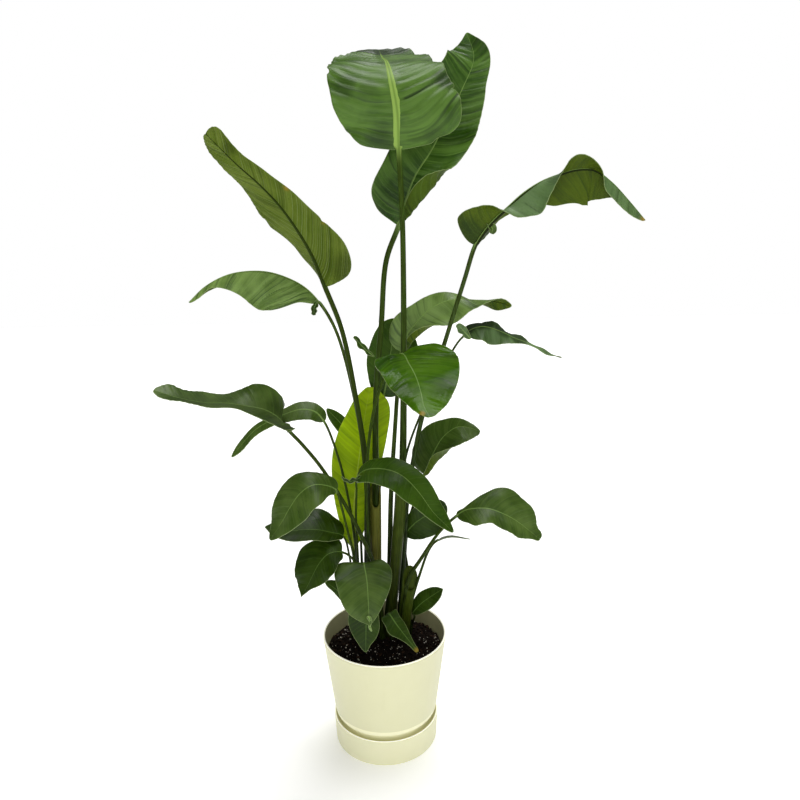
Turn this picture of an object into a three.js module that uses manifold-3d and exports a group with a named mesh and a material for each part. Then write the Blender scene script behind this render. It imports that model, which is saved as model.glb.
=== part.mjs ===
// Potted bird of paradise: a cream pot standing in its saucer, filled with soil, with
// twenty six leaves that each rise on a stalk of their own. Millimetres, +Z up, the front
// of the plant towards -Y, the foot of the saucer centred on the origin.
import * as THREE from "three";
import { mergeVertices } from "three/addons/utils/BufferGeometryUtils.js";
import Module from "manifold-3d";

const wasm = await Module();
wasm.setup();

// ---------------------------------------------------------------- driving sizes
const GAP = 0.3; // between pieces that rest on each other
const TURN_STEPS = 48; // facets round the pot and the saucer

const POT = {
  floor: 3.3, // underside of the pot, just clear of the saucer's floor
  neckRadius: 93, // narrow foot that drops into the saucer
  neckTop: 62,
  bodyFootRadius: 103.5, // widest point of the rounded shoulder over the saucer
  bodyFoot: 76,
  rimRadius: 122.5,
  rimTop: 233,
  wall: 3.5,
};

const SAUCER = {
  footRadius: 103,
  rimRadius: 105.4,
  rimTop: 57,
  wall: 2.8,
  floor: 3,
};

const SOIL = {
  top: 194,
  holeDepth: 34, // how far a stalk goes into the soil
  holeRoom: 0.8, // room round a stalk in its hole
  holeSides: 10,
  straight: 16, // height to which a stalk stands upright
};

const BLADE = 0.9; // thickness of a leaf blade
const BEND = [0.4, 0.7]; // part of a half width over which a margin bends
const TIP_RADIUS = 0.7; // the drip tip a blade ends in
const STEPS_A_SPAN = 24; // samples between two points of a stalk's run

// ---------------------------------------------------------------- the leaves
// foot   where the stalk leaves the soil (x, y)
// thick  radius of the stalk in the soil and under the blade
// stalk  points the stalk runs through above the soil
// rib    points the midrib runs through, from the end of the stalk to the tip
// face   where the upper face looks, at even steps along the midrib
// half   half widths left and right of the midrib, seen from above with the tip away, at
//        even steps along the midrib
// round  share of the midrib over which the base and the tip round off
// left   degrees the left half is lifted towards the upper face at the midrib, and what
//        the bend out towards the margin adds, both at even steps along the midrib
// right  the same for the right half
// lean   how far the margins lie ahead of their place on the midrib, in half widths, at
//        the base and from two thirds of the blade on
// ripple height in degrees, number and start of the waves along the margin
const LEAVES = [
  {
    name: "leaf_top_front",
    foot: [8, 28],
    thick: [11, 4.6],
    stalk: [[25, 18, 370], [39, 8, 535], [45, -10, 800], [45, -28, 1030]],
    rib: [
      [40, -40, 1144], [38, -46, 1202], [30, -30, 1251], [24, 12, 1284], [17, 75, 1305],
      [12, 150, 1333],
    ],
    face: [[0.05, -1, 0.1], [0, -1, 0.3], [0, -0.4, 1], [0, 0.1, 1]],
    half: [
      [24, 64, 84, 95, 102, 103, 103, 98, 91, 86, 54, 58, 60],
      [24, 61, 98, 104, 100, 92, 90, 83, 82, 75, 62, 62, 60],
    ],
    round: [0.08, 0.12],
    left: [[0, -8, 0, 3, 5], [-10]],
    right: [[10, 0, 0, 3, 5], [-5]],
    lean: [-0.3, 0],
    ripple: [3, 4, 0],
  },
  {
    name: "leaf_top_back",
    foot: [-18, 46],
    thick: [9.5, 4.8],
    stalk: [[-14, 34, 392], [-11, 25, 540], [-7, 17, 706], [6, 10, 850], [17, 6, 962]],
    rib: [
      [40, 6, 1022], [49, 4, 1055], [69, 12, 1104], [98, 24, 1147], [127, 40, 1199],
      [155, 55, 1250], [177, 74, 1303], [167, 95, 1348],
    ],
    face: [[-0.3, -1, 0.3], [-0.2, -1, 0.3], [-0.2, -1, 0.2]],
    half: [[18, 60, 59, 64, 62, 61, 52, 45, 10], [14, 54, 84, 61, 62, 50, 35, 27, 10]],
    round: [0.08, 0.12],
    left: [[20, 20, 10, 10], [10]],
    right: [[0, 5, 5, 0, 0, 0, 5, 5, 5], [170, 165, 110, 30, 20, 10, 0, 0, 0]],
    lean: [-0.3, 0.2],
    ripple: [2, 3, 0],
  },
  {
    name: "leaf_upper_left",
    foot: [-36, 32],
    thick: [8, 4.4],
    stalk: [[-30, 18, 430], [-28, 4, 576], [-43, -14, 715], [-64, -30, 845]],
    rib: [
      [-90, -40, 922], [-104, -46, 965], [-123, -52, 1004], [-155, -62, 1054], [-186, -70, 1089],
      [-220, -80, 1121], [-262, -92, 1165],
    ],
    face: [[0.6, 0.8, 0.3], [0.4, 0.8, 0.5], [0.3, 0.9, 0.5]],
    half: [[25, 61, 67, 52, 39, 32, 25, 21, 18, 21, 32], [8, 17, 36, 47, 62, 60, 49, 37, 34, 33, 25]],
    round: [0.08, 0.12],
    left: [[0, 10, 20, 30], [10, 20, 30, 40]],
    right: [[20, 10, 10, 20], [10]],
    lean: [-0.3, 0.35],
    ripple: [2, 3, 0],
  },
  {
    name: "leaf_left_arch",
    foot: [-38, 52],
    thick: [5.5, 3.2],
    stalk: [[-30, 40, 376], [-30, 30, 526], [-38, 18, 648], [-63, 4, 794], [-80, -3, 850]],
    rib: [
      [-102, -8, 890], [-125, -14, 917], [-151, -22, 934], [-187, -30, 947], [-225, -38, 949],
      [-257, -42, 943], [-293, -44, 925], [-323, -40, 899],
    ],
    face: [[-0.2, -0.2, 1], [0, -0.2, 1], [-0.4, -0.2, 1]],
    half: [[15, 28, 48, 65, 67, 58, 40, 24, 12, 14, 12], [19, 50, 50, 45, 28, 12, 10]],
    round: [0.08, 0.12],
    left: [[-30, -55, -60, -35, -10], [-15]],
    right: [[-50, -50, -50], [-20]],
    lean: [0, 0.2],
    ripple: [5, 4, 0],
  },
  {
    name: "leaf_upper_right",
    foot: [30, 44],
    thick: [7, 4.4],
    stalk: [
      [41, 32, 378], [49, 22, 506], [61, 12, 585], [77, 4, 669], [118, -10, 813], [152, -20, 927],
    ],
    rib: [
      [170, -26, 987], [184, -29, 1010], [201, -33, 1030], [222, -36, 1049], [248, -40, 1072],
      [275, -43, 1089], [303, -45, 1100], [333, -48, 1108], [363, -50, 1107], [393, -52, 1087],
      [423, -54, 1057], [452, -56, 1025],
    ],
    face: [[-0.6, 0, 0.7], [-0.3, 0, 1], [0, 0, 1], [0.6, 0, 0.7]],
    half: [
      [15, 21, 18, 16, 26, 46, 52, 60, 57, 36, 12, 11, 12],
      [30, 52, 34, 34, 46, 38, 34, 33, 24, 22, 22, 19, 14],
    ],
    round: [0.08, 0.12],
    left: [[-30, -30, -30, -60, -75, -80, -80, -80, -75, -70, -65, -60, -60], [0]],
    right: [[80, 75, 60, -55, -75, -40, 5, 42, 8, -55, -60, -60, -60], [0]],
    lean: [-0.2, 0.2],
    ripple: [0, 3, 0],
  },
  {
    name: "leaf_behind_right",
    foot: [8, 52],
    thick: [7, 4],
    stalk: [[14, 45, 374], [18, 37, 502], [28, 29, 645], [36, 25, 743]],
    rib: [
      [43, 24, 795], [50, 26, 821], [68, 26, 846], [92, 25, 870], [119, 24, 884], [147, 24, 889],
      [177, 24, 887], [208, 24, 885], [244, 22, 875],
    ],
    face: [[-0.6, -0.8, 0.3], [-0.5, -0.8, 0.5], [-0.1, -0.6, 0.8], [0, 0.4, 0.9], [0, 0.9, 0.3]],
    half: [[19, 37, 26, 21, 18, 20, 8], [25, 40, 50, 46, 32, 22, 8]],
    round: [0.08, 0.12],
    left: [[20, 20, 0, -20], [0]],
    right: [[-10, -20, -30, -20], [150, 125, 40, 0, 0, 0]],
    lean: [-0.2, 0.35],
    ripple: [2, 3, 0],
  },
  {
    name: "leaf_small_right",
    foot: [16, 70],
    thick: [4.5, 2.2],
    stalk: [[26, 62, 364], [36, 54, 494], [49, 46, 585], [72, 36, 657], [113, 20, 751], [144, 12, 810]],
    rib: [
      [155, 10, 823], [167, 9, 834], [190, 4, 841], [221, 2, 832], [248, 0, 819], [277, -1, 808],
      [305, -3, 793], [333, -4, 782],
    ],
    face: [[-0.2, 0, 1], [0, 0, 1], [0.2, 0, 1]],
    half: [[12, 24, 24, 20, 12, 8], [13, 34, 24, 6, 10, 10]],
    round: [0.08, 0.12],
    left: [[20, 10, 0], [0]],
    right: [[-10, -60, -30, 10], [0]],
    lean: [-0.2, 0.35],
    ripple: [10, 4, 0],
  },
  {
    name: "leaf_heart",
    foot: [-38, 14],
    thick: [5, 3],
    stalk: [[-28, 0, 395], [-29, -10, 541], [-21, -22, 640], [-3, -42, 729], [24, -52, 790]],
    rib: [
      [40, -60, 805], [51, -95, 794], [61, -130, 778], [67, -165, 759], [70, -186, 744],
      [78, -205, 731],
    ],
    face: [[0, -0.3, 1], [0, -0.4, 1], [0, -0.6, 1]],
    half: [[46, 80, 76, 58, 38, 16], [50, 58, 53, 43, 22, 8]],
    round: [0.08, 0.12],
    left: [[10, 10, 5], [0]],
    right: [[10, 10, 5], [-20]],
    lean: [-0.14, 0.35],
    ripple: [3, 3, 0],
  },
  {
    name: "leaf_behind_left",
    foot: [-6, 68],
    thick: [4.5, 3],
    stalk: [[-10, 63, 365], [-3, 61, 535], [2, 59, 640]],
    rib: [[8, 56, 702], [17, 57, 743], [23, 58, 788], [34, 58, 850]],
    face: [[0, -1, 0.2], [0, -1, 0.3]],
    half: [[20, 36, 44, 40, 31, 14], [20, 34, 48, 50, 32, 14]],
    round: [0.08, 0.12],
    left: [[0, 5], [5]],
    right: [[0, 5], [5]],
    lean: [-0.2, 0.35],
    ripple: [2, 3, 0],
  },
  {
    name: "leaf_young",
    foot: [-54, 60],
    thick: [5, 3.6],
    stalk: [[-56, 54, 306]],
    rib: [
      [-59, 44, 395], [-57, 44, 464], [-49, 44, 537], [-37, 44, 619], [-26, 44, 683],
      [-18, 44, 723],
    ],
    face: [[0, -1, 0.1], [0.1, -1, 0.1], [0, -1, 0.1]],
    half: [[13, 28, 43, 52, 47, 31, 14], [13, 28, 36, 44, 48, 46, 26]],
    round: [0.08, 0.12],
    left: [[5, 5], [0]],
    right: [[0, 0], [0]],
    lean: [0, 0.35],
    ripple: [2, 3, 0],
  },
  {
    name: "leaf_mid_left",
    foot: [-4, 12],
    thick: [6.5, 3.6],
    stalk: [[-12, -6, 358], [-36, -21, 439], [-69, -29, 517], [-109, -33, 591], [-141, -35, 636]],
    rib: [
      [-166, -36, 666], [-181, -42, 690], [-204, -48, 707], [-234, -54, 716], [-266, -58, 723],
      [-304, -58, 725], [-349, -54, 733], [-395, -48, 747],
    ],
    face: [[-0.4, -0.1, 1], [0, 0, 1], [0, 0, 1]],
    half: [[22, 52, 60, 55, 42, 34, 22, 20, 22, 18, 12], [40, 50, 50, 50, 45, 44, 44, 42, 36, 27, 14]],
    round: [0.08, 0.12],
    left: [[-20, 0, 0, 0, -10], [0]],
    right: [[20, 45, 10, 10, 30], [0]],
    lean: [-0.2, 0.35],
    ripple: [4, 3, 0],
  },
  {
    name: "leaf_mid_left_back",
    foot: [-56, 42],
    thick: [4, 2.4],
    stalk: [[-52, 36, 300], [-52, 32, 379], [-68, 22, 528], [-87, 16, 616]],
    rib: [
      [-105, 12, 667], [-121, 12, 686], [-145, 12, 691], [-175, 12, 683], [-209, 12, 668],
      [-236, 12, 651], [-281, 12, 601],
    ],
    face: [[-0.2, -0.5, 1], [-0.2, -0.5, 1], [-0.6, -0.5, 0.7]],
    half: [[11, 23, 22, 15, 13, 12, 6], [11, 19, 15, 10, 10, 10, 6]],
    round: [0.08, 0.12],
    left: [[-10, -10], [0]],
    right: [[10, 10], [0]],
    lean: [-0.2, 0.35],
    ripple: [3, 3, 0],
  },
  {
    name: "leaf_back_left",
    foot: [-36, 70],
    thick: [4, 2.2],
    stalk: [[-42, 68, 295], [-45, 64, 447]],
    rib: [[-49, 60, 562], [-61, 62, 624], [-102, 58, 679]],
    face: [[-0.4, -0.8, 0.4], [-0.4, -0.5, 0.8]],
    half: [[8, 15, 16, 15, 12, 5], [8, 15, 16, 15, 12, 5]],
    round: [0.08, 0.12],
    left: [[0, 0], [0]],
    right: [[0, 0], [0]],
    lean: [-0.1, 0.35],
    ripple: [2, 3, 0],
  },
  {
    name: "leaf_centre_arch",
    foot: [-52, 22],
    thick: [3.6, 2.2],
    stalk: [[-49, 8, 360], [-50, -6, 479], [-47, -22, 540]],
    rib: [
      [-45, -34, 570], [-31, -46, 588], [-6, -62, 597], [23, -80, 597], [43, -92, 588],
      [67, -108, 565], [89, -120, 535], [123, -132, 502],
    ],
    face: [[-0.4, -0.4, 1], [0, -0.6, 1], [0.4, -0.6, 0.8]],
    half: [[12, 25, 28, 29, 27, 20, 8], [16, 35, 38, 37, 25, 14, 8]],
    round: [0.08, 0.12],
    left: [[8, 8], [-10]],
    right: [[8, 8], [-10]],
    lean: [-0.2, 0.35],
    ripple: [3, 4, 0],
  },
  {
    name: "leaf_low_left_upper",
    foot: [-52, 8],
    thick: [4, 2.4],
    stalk: [[-54, -9, 381], [-68, -28, 474], [-76, -42, 523]],
    rib: [
      [-83, -50, 553], [-103, -60, 567], [-124, -70, 571], [-145, -79, 560], [-163, -86, 537],
      [-181, -90, 507], [-201, -94, 479],
    ],
    face: [[-0.2, -0.5, 0.8], [-0.2, -0.6, 0.8], [-0.6, -0.6, 0.5]],
    half: [[14, 23, 43, 50, 46, 37, 28, 16, 8], [20, 27, 30, 40, 40, 35, 29, 16, 8]],
    round: [0.08, 0.12],
    left: [[8, 8], [-10]],
    right: [[8, 8], [-10]],
    lean: [-0.2, 0.35],
    ripple: [3, 3, 0],
  },
  {
    name: "leaf_low_left_middle",
    foot: [-66, 28],
    thick: [3.6, 2.2],
    stalk: [[-61, 14, 324], [-66, 4, 399]],
    rib: [
      [-76, -8, 443], [-98, -13, 453], [-124, -19, 462], [-150, -24, 465], [-183, -30, 466],
      [-219, -34, 477],
    ],
    face: [[-0.2, -0.4, 1], [-0.1, -0.4, 1]],
    half: [[13, 25, 32, 29, 21, 5], [25, 50, 52, 36, 22, 6]],
    round: [0.08, 0.12],
    left: [[8, 8], [-10]],
    right: [[8, 8], [-10]],
    lean: [-0.2, 0.35],
    ripple: [3, 3, 0],
  },
  {
    name: "leaf_low_left_lower",
    foot: [-40, 0],
    thick: [3.6, 2.2],
    stalk: [[-42, -18, 339], [-55, -32, 403]],
    rib: [
      [-77, -42, 426], [-101, -50, 427], [-118, -58, 413], [-131, -65, 392], [-142, -70, 371],
      [-154, -74, 353],
    ],
    face: [[-0.2, -0.5, 1], [-0.4, -0.6, 0.8], [-0.6, -0.6, 0.5]],
    half: [[17, 35, 43, 28, 10, 2], [30, 38, 54, 43, 26, 2]],
    round: [0.08, 0.12],
    left: [[8, 8], [-10]],
    right: [[8, 8], [-10]],
    lean: [-0.2, 0.35],
    ripple: [3, 3, 0],
  },
  {
    name: "leaf_low_small",
    foot: [-50, -6],
    thick: [3, 1.8],
    stalk: [[-50, -26, 273]],
    rib: [[-68, -50, 324], [-81, -55, 346], [-93, -58, 361], [-109, -60, 375]],
    face: [[-0.2, -0.7, 0.7], [-0.2, -0.7, 0.7]],
    half: [[5, 8, 8, 7, 6, 3], [6, 11, 15, 15, 10, 4]],
    round: [0.08, 0.12],
    left: [[0, 0], [0]],
    right: [[0, 0], [0]],
    lean: [-0.1, 0.35],
    ripple: [0, 3, 0],
  },
  {
    name: "leaf_low_front",
    foot: [-21, 8],
    thick: [4.4, 2.6],
    stalk: [[-24, -14, 320], [-31, -36, 380]],
    rib: [[-36, -56, 409], [-31, -84, 393], [-29, -104, 376], [-28, -120, 353], [-26, -134, 324]],
    face: [[0, -0.4, 1], [0, -0.7, 0.8], [0, -0.9, 0.4]],
    half: [[28, 47, 43, 29, 16, 2], [50, 58, 54, 45, 25, 2]],
    round: [0.08, 0.12],
    left: [[8, 8], [-10]],
    right: [[8, 8], [-10]],
    lean: [-0.22, 0.35],
    ripple: [3, 3, 0],
  },
  {
    name: "leaf_soil_left",
    foot: [-30, -4],
    thick: [3.6, 2.2],
    stalk: [[-31, -26, 272], [-34, -50, 320]],
    rib: [[-34, -62, 336], [-34, -78, 308], [-35, -90, 277], [-36, -100, 250]],
    face: [[0, -0.6, 0.8], [0, -0.9, 0.4]],
    half: [[16, 20, 24, 25, 19, 9, 4], [20, 28, 34, 30, 21, 12, 4]],
    round: [0.08, 0.12],
    left: [[0, 0], [0]],
    right: [[0, 0], [0]],
    lean: [-0.2, 0.35],
    ripple: [2, 3, 0],
  },
  {
    name: "leaf_soil_right",
    foot: [14, 10],
    thick: [4.4, 2.6],
    stalk: [[8, -20, 265]],
    rib: [[9, -50, 299], [24, -62, 281], [39, -74, 265], [62, -86, 238]],
    face: [[0, -0.5, 1], [0.2, -0.7, 0.7]],
    half: [[18, 15, 15, 12, 8, 5, 5], [20, 20, 23, 14, 8, 5, 5]],
    round: [0.08, 0.12],
    left: [[0, 0], [0]],
    right: [[0, 0], [0]],
    lean: [-0.2, 0.35],
    ripple: [2, 3, 0],
  },
  {
    name: "leaf_low_right",
    foot: [56, 52],
    thick: [3, 1.8],
    stalk: [[62, 32, 242]],
    rib: [[58, 16, 260], [74, 14, 281], [96, 12, 299], [118, 10, 315]],
    face: [[-0.4, -0.7, 0.6], [-0.3, -0.8, 0.6]],
    half: [[8, 16, 20, 18, 12, 3], [8, 16, 20, 18, 12, 3]],
    round: [0.08, 0.12],
    left: [[0, 0], [0]],
    right: [[0, 0], [0]],
    lean: [-0.1, 0.35],
    ripple: [2, 3, 0],
  },
  {
    name: "leaf_mid_right",
    foot: [34, 64],
    thick: [5, 3],
    stalk: [[41, 58, 299], [51, 55, 429]],
    rib: [
      [84, 30, 551], [93, 28, 574], [104, 25, 601], [120, 21, 629], [145, 14, 649], [167, 9, 649],
      [187, 4, 642],
    ],
    face: [[-0.6, -0.7, 0.4], [-0.4, -0.7, 0.6], [0, -0.6, 0.8]],
    half: [[31, 50, 46, 28, 14, 6], [20, 34, 58, 52, 32, 14]],
    round: [0.08, 0.12],
    left: [[5, 5], [-10]],
    right: [[10, 10, 5, 0], [130, 100, 20, 0]],
    lean: [-0.2, 0.35],
    ripple: [2, 3, 0],
  },
  {
    name: "leaf_low_behind_right",
    foot: [52, 30],
    thick: [4, 2.6],
    stalk: [[52, 38, 318]],
    rib: [[45, 38, 418], [63, 33, 446], [83, 28, 463], [104, 24, 477], [125, 20, 490]],
    face: [[-0.3, -1, 0.2], [-0.2, -0.9, 0.4]],
    half: [[8, 16, 24, 26, 20, 10], [18, 31, 40, 38, 24, 10]],
    round: [0.08, 0.12],
    left: [[0, 0], [0]],
    right: [[0, 0], [0]],
    lean: [-0.2, 0.35],
    ripple: [4, 3, 0],
  },
  {
    name: "leaf_right",
    foot: [30, 20],
    thick: [8, 2.8],
    stalk: [[37, 4, 276], [49, -12, 352], [71, -22, 395], [109, -30, 458]],
    rib: [
      [140, -34, 490], [155, -38, 502], [178, -43, 508], [200, -48, 508], [224, -53, 500],
      [246, -56, 488], [268, -59, 471], [292, -62, 451],
    ],
    face: [[-0.2, -0.5, 0.9], [0, -0.6, 0.8], [0.3, -0.6, 0.7]],
    half: [[10, 6, 19, 35, 50, 53, 49, 42, 30, 18, 20], [20, 28, 40, 37, 29, 31, 32, 30, 21, 12, 10]],
    round: [0.08, 0.12],
    left: [[8, 8], [-10]],
    right: [[8, 8], [-10]],
    lean: [0, 0.35],
    ripple: [4, 3, 0],
  },
  {
    name: "leaf_right_narrow",
    foot: [42, 12],
    thick: [5, 2.6],
    stalk: [[52, 2, 283], [70, -4, 352], [91, -8, 413]],
    rib: [[105, -12, 431], [129, -18, 441], [167, -28, 439]],
    face: [[-0.2, 0.3, 1], [0, 0.3, 1]],
    half: [[12, 13, 10, 6, 4, 2], [14, 14, 10, 6, 4, 2]],
    round: [0.08, 0.12],
    left: [[0, 0], [0]],
    right: [[0, 0], [0]],
    lean: [0, 0.35],
    ripple: [0, 3, 0],
  },
];

const LOOKS = {
  pot: { color: "#e6e5be", roughness: 0.45 },
  saucer: { color: "#e1e0ba", roughness: 0.5 },
  soil: { color: "#1c140c", roughness: 0.95 },
  leaf: { color: "#2e4512", roughness: 0.42 },
  youngLeaf: { color: "#6b8703", roughness: 0.5 },
};

// ---------------------------------------------------------------- solids
function asSolid(geometry) {
  const bare = geometry.clone();
  bare.deleteAttribute("normal");
  bare.deleteAttribute("uv");
  const merged = mergeVertices(bare, 1e-3);
  return new wasm.Manifold(
    new wasm.Mesh({
      numProp: 3,
      vertProperties: new Float32Array(merged.attributes.position.array),
      triVerts: new Uint32Array(merged.index.array),
    }),
  );
}

function asGeometry(solid) {
  const mesh = solid.getMesh();
  const geometry = new THREE.BufferGeometry();
  geometry.setAttribute("position", new THREE.BufferAttribute(mesh.vertProperties, 3));
  geometry.setIndex(new THREE.BufferAttribute(mesh.triVerts, 1));
  return geometry;
}

function turned(profile, steps) {
  const points = profile.map(([radius, height]) => new THREE.Vector2(radius, height));
  return new THREE.LatheGeometry(points, steps).rotateX(Math.PI / 2);
}

// ---------------------------------------------------------------- pot, saucer, soil
const POT_FLOOR_TOP = POT.floor + POT.wall;
// Inner wall of the pot from its floor to its rim, which the soil follows.
const POT_INSIDE = [
  [POT.neckRadius - POT.wall - 1.5, POT_FLOOR_TOP],
  [POT.neckRadius - POT.wall, POT.neckTop],
  [POT.bodyFootRadius - POT.wall, POT.bodyFoot + 2],
  [POT.rimRadius - POT.wall, POT.rimTop - 2],
];

function potGeometry() {
  const { rimRadius, rimTop, bodyFootRadius, bodyFoot, neckRadius, neckTop } = POT;
  const outside = [
    [0, POT.floor],
    [neckRadius - 4, POT.floor],
    [neckRadius - 1.5, POT.floor + 2],
    [neckRadius, neckTop],
    [neckRadius + 4, neckTop + 1],
    [neckRadius + 8.5, neckTop + 5],
    [bodyFootRadius, bodyFoot],
    [rimRadius - 0.8, rimTop - 9],
    [rimRadius, rimTop - 7],
    [rimRadius, rimTop - 1.5],
    [rimRadius - 1.2, rimTop],
    [rimRadius - 2.6, rimTop - 0.2],
  ];
  const inside = [...POT_INSIDE].reverse();
  return turned([...outside, ...inside, [0, POT_FLOOR_TOP]], TURN_STEPS);
}

function saucerGeometry() {
  const { footRadius, rimRadius, rimTop, wall, floor } = SAUCER;
  return turned(
    [
      [0, 0],
      [footRadius - 3, 0],
      [footRadius - 0.8, 0.8],
      [footRadius, 3],
      [rimRadius, rimTop - 1.2],
      [rimRadius - 0.8, rimTop],
      [rimRadius - 2, rimTop],
      [rimRadius - wall, rimTop - 1.4],
      [footRadius - wall - 0.4, floor + 3],
      [footRadius - wall - 3, floor],
      [0, floor],
    ],
    TURN_STEPS,
  );
}

// Crumbly top of the soil: a low mound with shallow dips.
function soilHeight(x, y) {
  const far = Math.hypot(x, y) / (POT.rimRadius - POT.wall);
  const mound = 12 * (1 - far * far);
  const dips = Math.sin(x * 0.09 + 1.3) * Math.cos(y * 0.11 - 0.4) * 2.2;
  return SOIL.top + mound + dips;
}

function soilGeometry() {
  const [floorIn, neckIn, footIn, rimIn] = POT_INSIDE.map(([r, z]) => [r - GAP, z]);
  const rise = (SOIL.top - footIn[1]) / (rimIn[1] - footIn[1]);
  const edge = footIn[0] + (rimIn[0] - footIn[0]) * rise;
  const plug = turned(
    [
      [0, floorIn[1] + GAP],
      [floorIn[0], floorIn[1] + GAP],
      [neckIn[0], neckIn[1] + GAP],
      [footIn[0], footIn[1] + GAP],
      [edge - 0.2, SOIL.top],
      [edge * 0.8, SOIL.top + 1],
      [edge * 0.56, SOIL.top + 1],
      [edge * 0.3, SOIL.top + 1],
      [0, SOIL.top + 1],
    ],
    28,
  );
  const spots = plug.attributes.position;
  for (let i = 0; i < spots.count; i += 1) {
    if (spots.getZ(i) > SOIL.top + 0.5) {
      spots.setZ(i, soilHeight(spots.getX(i), spots.getY(i)));
    }
  }
  let soil = asSolid(plug);
  for (const leaf of LEAVES) {
    const [x, y] = leaf.foot;
    const radius = (leaf.thick[0] + SOIL.holeRoom) / Math.cos(Math.PI / SOIL.holeSides);
    const hole = new THREE.CylinderGeometry(radius, radius, 100, SOIL.holeSides)
      .rotateX(Math.PI / 2)
      .translate(x, y, SOIL.top - SOIL.holeDepth - GAP + 50);
    soil = soil.subtract(asSolid(hole));
  }
  return asGeometry(soil);
}

// ---------------------------------------------------------------- leaf form
// Value at s (0 to 1) of a list spaced evenly, through a smooth curve.
function along(list, s) {
  if (list.length === 1) {
    return list[0];
  }
  const t = s * (list.length - 1);
  const i = Math.min(Math.floor(t), list.length - 2);
  const f = t - i;
  const [a, b] = [list[Math.max(i - 1, 0)], list[i]];
  const [c, d] = [list[i + 1], list[Math.min(i + 2, list.length - 1)]];
  const bend = -a + 3 * b - 3 * c + d;
  return 0.5 * (2 * b + (c - a) * f + (2 * a - 5 * b + 4 * c - d) * f * f + bend * f * f * f);
}

function alongVectors(list, s) {
  const part = (k) => along(list.map((v) => v[k]), s);
  return new THREE.Vector3(part(0), part(1), part(2));
}

// The run of a leaf from its foot to its tip, sampled finely, with distances.
function runOf(leaf) {
  const [x, y] = leaf.foot;
  const points = [[x, y, SOIL.top + SOIL.straight + 2], ...leaf.stalk, ...leaf.rib];
  const curve = new THREE.CatmullRomCurve3(points.map((p) => new THREE.Vector3(...p)));
  const count = (points.length - 1) * STEPS_A_SPAN;
  const samples = [];
  let distance = 0;
  for (let i = 0; i <= count; i += 1) {
    const at = curve.getPoint(i / count);
    distance += i ? at.distanceTo(samples[i - 1].at) : 0;
    samples.push({ at, distance });
  }
  const join = samples[(leaf.stalk.length + 1) * STEPS_A_SPAN].distance;
  return { samples, join, end: distance };
}

function spotOn(run, distance) {
  const { samples } = run;
  let i = 1;
  while (i < samples.length - 1 && samples[i].distance < distance) {
    i += 1;
  }
  const [a, b] = [samples[i - 1], samples[i]];
  const f = Math.min(Math.max((distance - a.distance) / (b.distance - a.distance), 0), 1);
  return {
    at: a.at.clone().lerp(b.at, f),
    ahead: b.at.clone().sub(a.at).normalize(),
  };
}

function squared(face, ahead) {
  return face.clone().addScaledVector(ahead, -face.dot(ahead)).normalize();
}

// Half width of one side at s, rounded off at the base and at the tip.
function halfWidth(leaf, side, s) {
  const [base, tip] = leaf.round;
  const inward = Math.max(Math.min(s / base, (1 - s) / tip, 1), 0);
  return along(leaf.half[side], s) * Math.sqrt(1 - (1 - inward) ** 2);
}

// How far out and how far up a half of unit width has come at v: straight, bent, straight.
function bentHalf(first, turn, v) {
  const [from, to] = BEND;
  const last = first + turn * Math.min(Math.max((v - from) / (to - from), 0), 1);
  const straight = Math.min(v, from);
  const radius = (to - from) / turn;
  const beyond = Math.max(v - to, 0);
  return {
    reach:
      straight * Math.cos(first) +
      radius * (Math.sin(last) - Math.sin(first)) +
      beyond * Math.cos(last),
    rise:
      straight * Math.sin(first) +
      radius * (Math.cos(first) - Math.cos(last)) +
      beyond * Math.sin(last),
  };
}

function bladeFrame(leaf, run, s) {
  const { at, ahead } = spotOn(run, run.join + (run.end - run.join) * s);
  const face = squared(alongVectors(leaf.face, s), ahead);
  return { at, ahead, face, right: ahead.clone().cross(face) };
}

// A point of the blade: s along the midrib, v from the midrib (0) to a margin (-1 or 1).
function bladePoint(leaf, run, s, v) {
  const { at, ahead, face, right } = bladeFrame(leaf, run, s);
  const side = v < 0 ? 0 : 1;
  const out = Math.abs(v);
  const width = halfWidth(leaf, side, s);
  const [swell, waves, start] = leaf.ripple;
  const wave = swell * Math.sin(2 * Math.PI * (waves * s + start + side * 0.37)) * out;
  const [lifts, bends] = side ? leaf.right : leaf.left;
  const first = THREE.MathUtils.degToRad(along(lifts, s) + wave);
  const turn = THREE.MathUtils.degToRad(along(bends, s)) || 1e-6;
  const { reach, rise } = bentHalf(first, turn, out);
  const [base, tip] = leaf.lean;
  const sweep = base + (tip - base) * Math.min(s / 0.7, 1);
  return at
    .clone()
    .addScaledVector(right, (side ? 1 : -1) * width * reach)
    .addScaledVector(face, width * rise)
    .addScaledVector(ahead, width * out * sweep);
}

// ---------------------------------------------------------------- leaf solid
function smooth(value) {
  const t = Math.min(Math.max(value, 0), 1);
  return t * t * (3 - 2 * t);
}

function columnsOf(cells) {
  return Array.from({ length: 2 * cells + 1 }, (_, j) => (j - cells) / cells);
}

// One ring of a round stalk, as two rows of points: over and under.
function stalkRing(frame, radius, columns) {
  const point = (v, sign) => {
    const turn = v * THREE.MathUtils.degToRad(82);
    return frame.at
      .clone()
      .addScaledVector(frame.right, radius * Math.sin(turn))
      .addScaledVector(frame.face, sign * radius * Math.cos(turn));
  };
  return { over: columns.map((v) => point(v, 1)), under: columns.map((v) => point(v, -1)) };
}

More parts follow.
